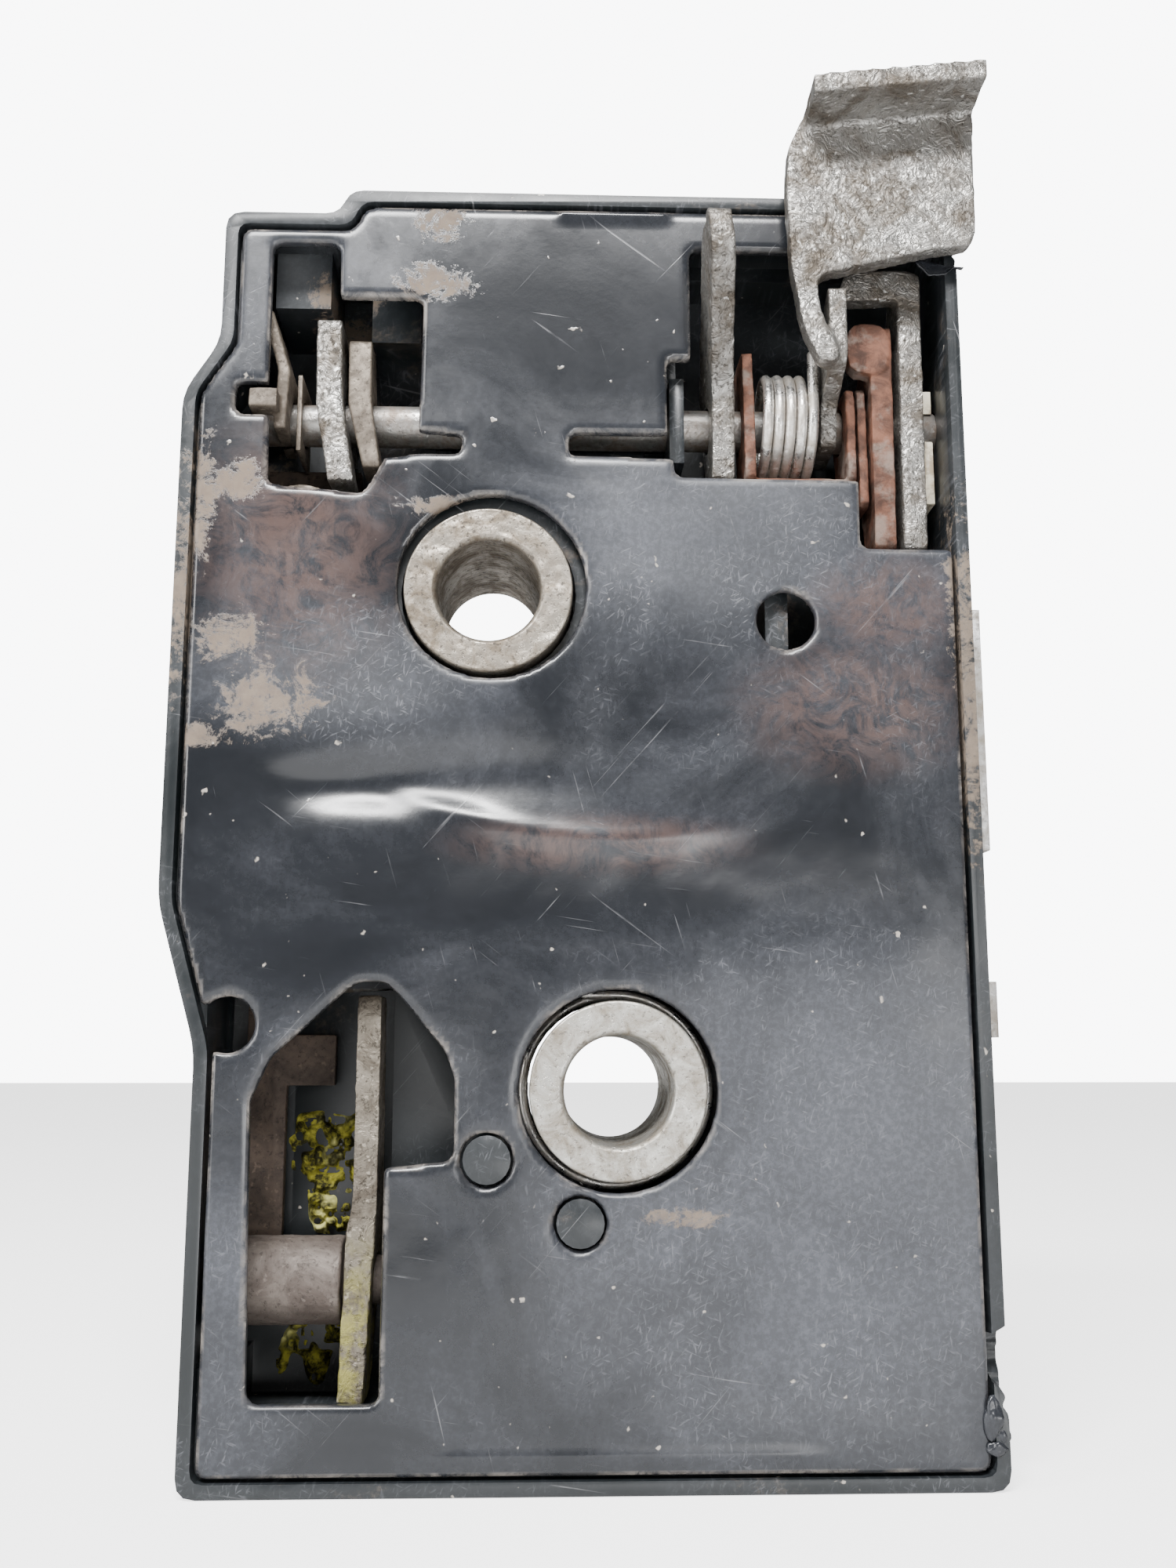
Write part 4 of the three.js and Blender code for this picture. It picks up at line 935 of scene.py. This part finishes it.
def warp_depth(points):
    """How far the cover has moved inwards: slow waves along the height, a long hollow under the
    upper sleeve, a crease across the middle and a general buckle, all faded out at the rim, with
    a raised lip along the bottom edge."""
    x, z = points[:, 0] / MM, points[:, 2] / MM
    mild = 0.10 * np.sin((z + 4 + 3 * np.sin(x / 19)) / 7.5) + 0.07 * np.sin((x - 0.5 * z) / 11.0)
    bend = 4.2 - 0.0052 * (x + 12) ** 2 + 0.06 * (x + 12)
    hollow = 0.92 * np.exp(-((np.abs(x + 12.5) / 13.5) ** 3) - ((z - bend + 2.4) / 2.9) ** 2)
    second = 0.34 * np.exp(-((x + 18) / 10) ** 2 - ((z + 0.6 + 0.07 * x) / 1.9) ** 2)
    crease_z = -3.3 - 0.12 * (x + 2) + 0.012 * (x + 2) ** 2
    crease = -0.26 * np.exp(-((x + 2) / 13) ** 4 - ((z - crease_z) / 1.0) ** 2)
    belly = 0.42 * np.exp(-((x - 2) / 22) ** 2 - ((z + 9.5) / 4.6) ** 2)
    lower = 0.16 * np.sin((z + 0.6 * x) / 6.3) * np.clip((-28 - z) / 8, 0, 1)
    flank = 0.30 * np.exp(-((x - 30.0 + 0.06 * z) / 2.2) ** 2) * (0.5 + 0.5 * np.sin(z / 5.0))
    flank = flank * np.clip((10 - z) / 10, 0, 1)
    crumple = 0.30 * ripple(points, 15 * MM, 71, 3) + 0.05 * ripple(points, 3 * MM, 77, 2)
    inset = np.minimum.reduce([x + 33.5, 33.2 - x, z + 54.2, 53.6 - z])
    fade = np.clip((inset - 0.6) / 4.0, 0, 1) ** 1.2
    rings = np.ones(len(points))
    for cx, cz in ((-7.3, 18.4), (3.5, -24.4)):
        rings = np.minimum(rings, np.clip((np.hypot(x - cx, z - cz) - 8.4) / 4.0, 0, 1))
    lip = -0.20 * np.exp(-((z + 52.6) / 0.42) ** 2) * np.clip((17 - np.abs(x - 4)) / 4, 0, 1)
    calm_top = 1 - 0.85 * np.clip((z - 26) / 10, 0, 1)
    waves = (mild + crumple) * calm_top + hollow + second + crease + belly + lower + flank
    return (waves * fade * rings + lip) * MM


cover_blank = nodes["rear_cover"].data.copy()
join_corners(cover_blank)
holder = bpy.data.objects.new("cover_blank", cover_blank)
bpy.context.scene.collection.objects.link(holder)
remesh = holder.modifiers.new("remesh", "REMESH")
remesh.mode = "VOXEL"
remesh.voxel_size = 0.42 * MM
smoothing = holder.modifiers.new("smooth", "SMOOTH")
smoothing.factor = 0.28
smoothing.iterations = 1
fine = holder.evaluated_get(bpy.context.evaluated_depsgraph_get()).to_mesh()
points = np.empty(len(fine.vertices) * 3)
fine.vertices.foreach_get("co", points)
points = points.reshape(-1, 3)
faces = np.empty(len(fine.loops), np.int32)
fine.loops.foreach_get("vertex_index", faces)
facing = np.empty(len(fine.vertices) * 3)
fine.vertices.foreach_get("normal", facing)
facing = np.abs(facing.reshape(-1, 3)[:, 1])
rounding = np.clip((0.95 - facing) / 0.25, 0, 1) * np.clip(facing / 0.45, 0, 1)
rounding *= np.clip(3.2 * (lattice_noise(points, 2.6 * MM, 83) - 0.34), 0.12, 1)
points[:, 1] += warp_depth(points)
cover_sheet = new_piece("cover_sheet", points, faces.reshape(-1, 4))
worn_edge = cover_sheet.data.attributes.new("worn_edge", "FLOAT", "POINT")
worn_edge.data.foreach_set("value", rounding.astype(np.float32))
bpy.data.objects.remove(holder)
bpy.data.meshes.remove(cover_blank)
stand_for(cover_sheet, "rear_cover")
cover_plastic = black_plastic(
    "cover_plastic", (0.007, 0.008, 0.010), (0.058, 0.062, 0.074), 0.30, 0.17, 0.46,
    muddy=(
        (-29.8, 13.7, 6.5, 4.5),
        (-32.0, 5.0, 5.0, 2.4),
        (-12.4, 52.6, 4.5, 4.0),
        (-33.0, 26.0, 3.6, 12.0),
        (-29.5, 27.5, 4.5, 3.5),
        (-26.5, 8.0, 9.0, 6.0),
        (-15.5, 38.0, 3.0, 9.0),
        (-12.5, 46.5, 6.0, 3.5),
        (33.0, 22.0, 1.6, 24.0),
        (8.5, -34.5, 6.5, 1.6),
        (-12.0, 25.5, 7.0, 1.8),
    ),
    pale=(
        (19.0, -32.0, 30.0, 30.0),
        (14.0, 24.0, 24.0, 13.0),
        (-28.0, -42.0, 9.0, 16.0),
        (14.0, 27.0, 12.0, 5.0),
        (-20.0, 10.0, 16.0, 9.0),
    ),
    warm=(
        (24.0, 8.0, 13.0, 8.0),
        (2.0, -4.0, 16.0, 3.4),
        (-24.0, 22.0, 12.0, 16.0),
        (27.0, 17.0, 9.0, 6.0),
    ),
    dark=((2.0, 44.0, 24.0, 16.0), (-6.0, -8.0, 26.0, 5.5), (-21.0, -14.0, 12.0, 6.0)),
)
clad(cover_sheet, cover_plastic)

# ---------------------------------------------------------------------------
# A torn flap of the cover by the flag, and drops where its lower corner has melted.
# Both are the cover's own plastic, folded or run forward over the rim.
u, v = np.meshgrid(np.linspace(0, 1, 60), np.linspace(0, 1, 36), indexing="ij")
flap_width = 0.004
along = np.stack([u.ravel() * flap_width, v.ravel() * 0, u.ravel() * 0], 1)
torn = lattice_noise(along, 0.5 * MM, 97).reshape(u.shape)
across = (30.6 + 4.2 * u) * MM
drop = 0.5 + 1.1 * np.sin(np.pi * np.clip(u * 1.25, 0, 1)) ** 0.8 + 0.5 * (torn - 0.5)
drop = drop * (1 - 0.75 * u**3)
up = (49.3 - 0.9 * u - v * np.clip(drop, 0.15, None)) * MM
curl = (-16.55 - 0.55 * v**2 - 0.25 * u) * MM
flap_front = np.stack([across, curl, up], 2)
flap_back = flap_front + np.array([0, 0.28 * MM, 0])
clad(pillow("torn_flap", flap_front, flap_back, "case"), cover_plastic)


def melted_drop(name, centre, size, seed):
    """A closed blob: a sphere of angles stretched to the size and swollen by noise."""
    around, rings = 40, 24
    turn_angle = np.linspace(0, 2 * np.pi, around, endpoint=False)
    tilt = np.linspace(0.02, np.pi - 0.02, rings)
    t, a = np.meshgrid(tilt, turn_angle, indexing="ij")
    ball = np.stack([np.sin(t) * np.cos(a), np.sin(t) * np.sin(a), np.cos(t)], 2).reshape(-1, 3)
    swell = 1 + 0.5 * ripple(ball * MM, 0.8 * MM, seed, 3)
    points = ball * np.array(size) * MM * swell[:, None] + np.array(centre) * MM
    faces = grid_faces(rings, around, wrap_columns=True).tolist()
    ends = [list(range(around)), list(range((rings - 1) * around, rings * around))]
    mesh = bpy.data.meshes.new(name)
    mesh.from_pydata(points.tolist(), [], faces + ends)
    face_outwards(mesh)
    mesh.polygons.foreach_set("use_smooth", np.full(len(mesh.polygons), True))
    blob = bpy.data.objects.new(name, mesh)
    bpy.context.scene.collection.objects.link(blob)
    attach(blob, "case")
    return blob


for index, (centre, size) in enumerate((
    ((33.1, -16.3, -49.9), (0.8, 0.5, 1.5)),
    ((33.9, -15.9, -51.3), (0.7, 0.6, 0.9)),
    ((33.4, -16.2, -52.2), (0.9, 0.45, 0.6)),
)):
    clad(melted_drop(f"melted_drop_{index + 1}", centre, size, 101 + index), cover_plastic)
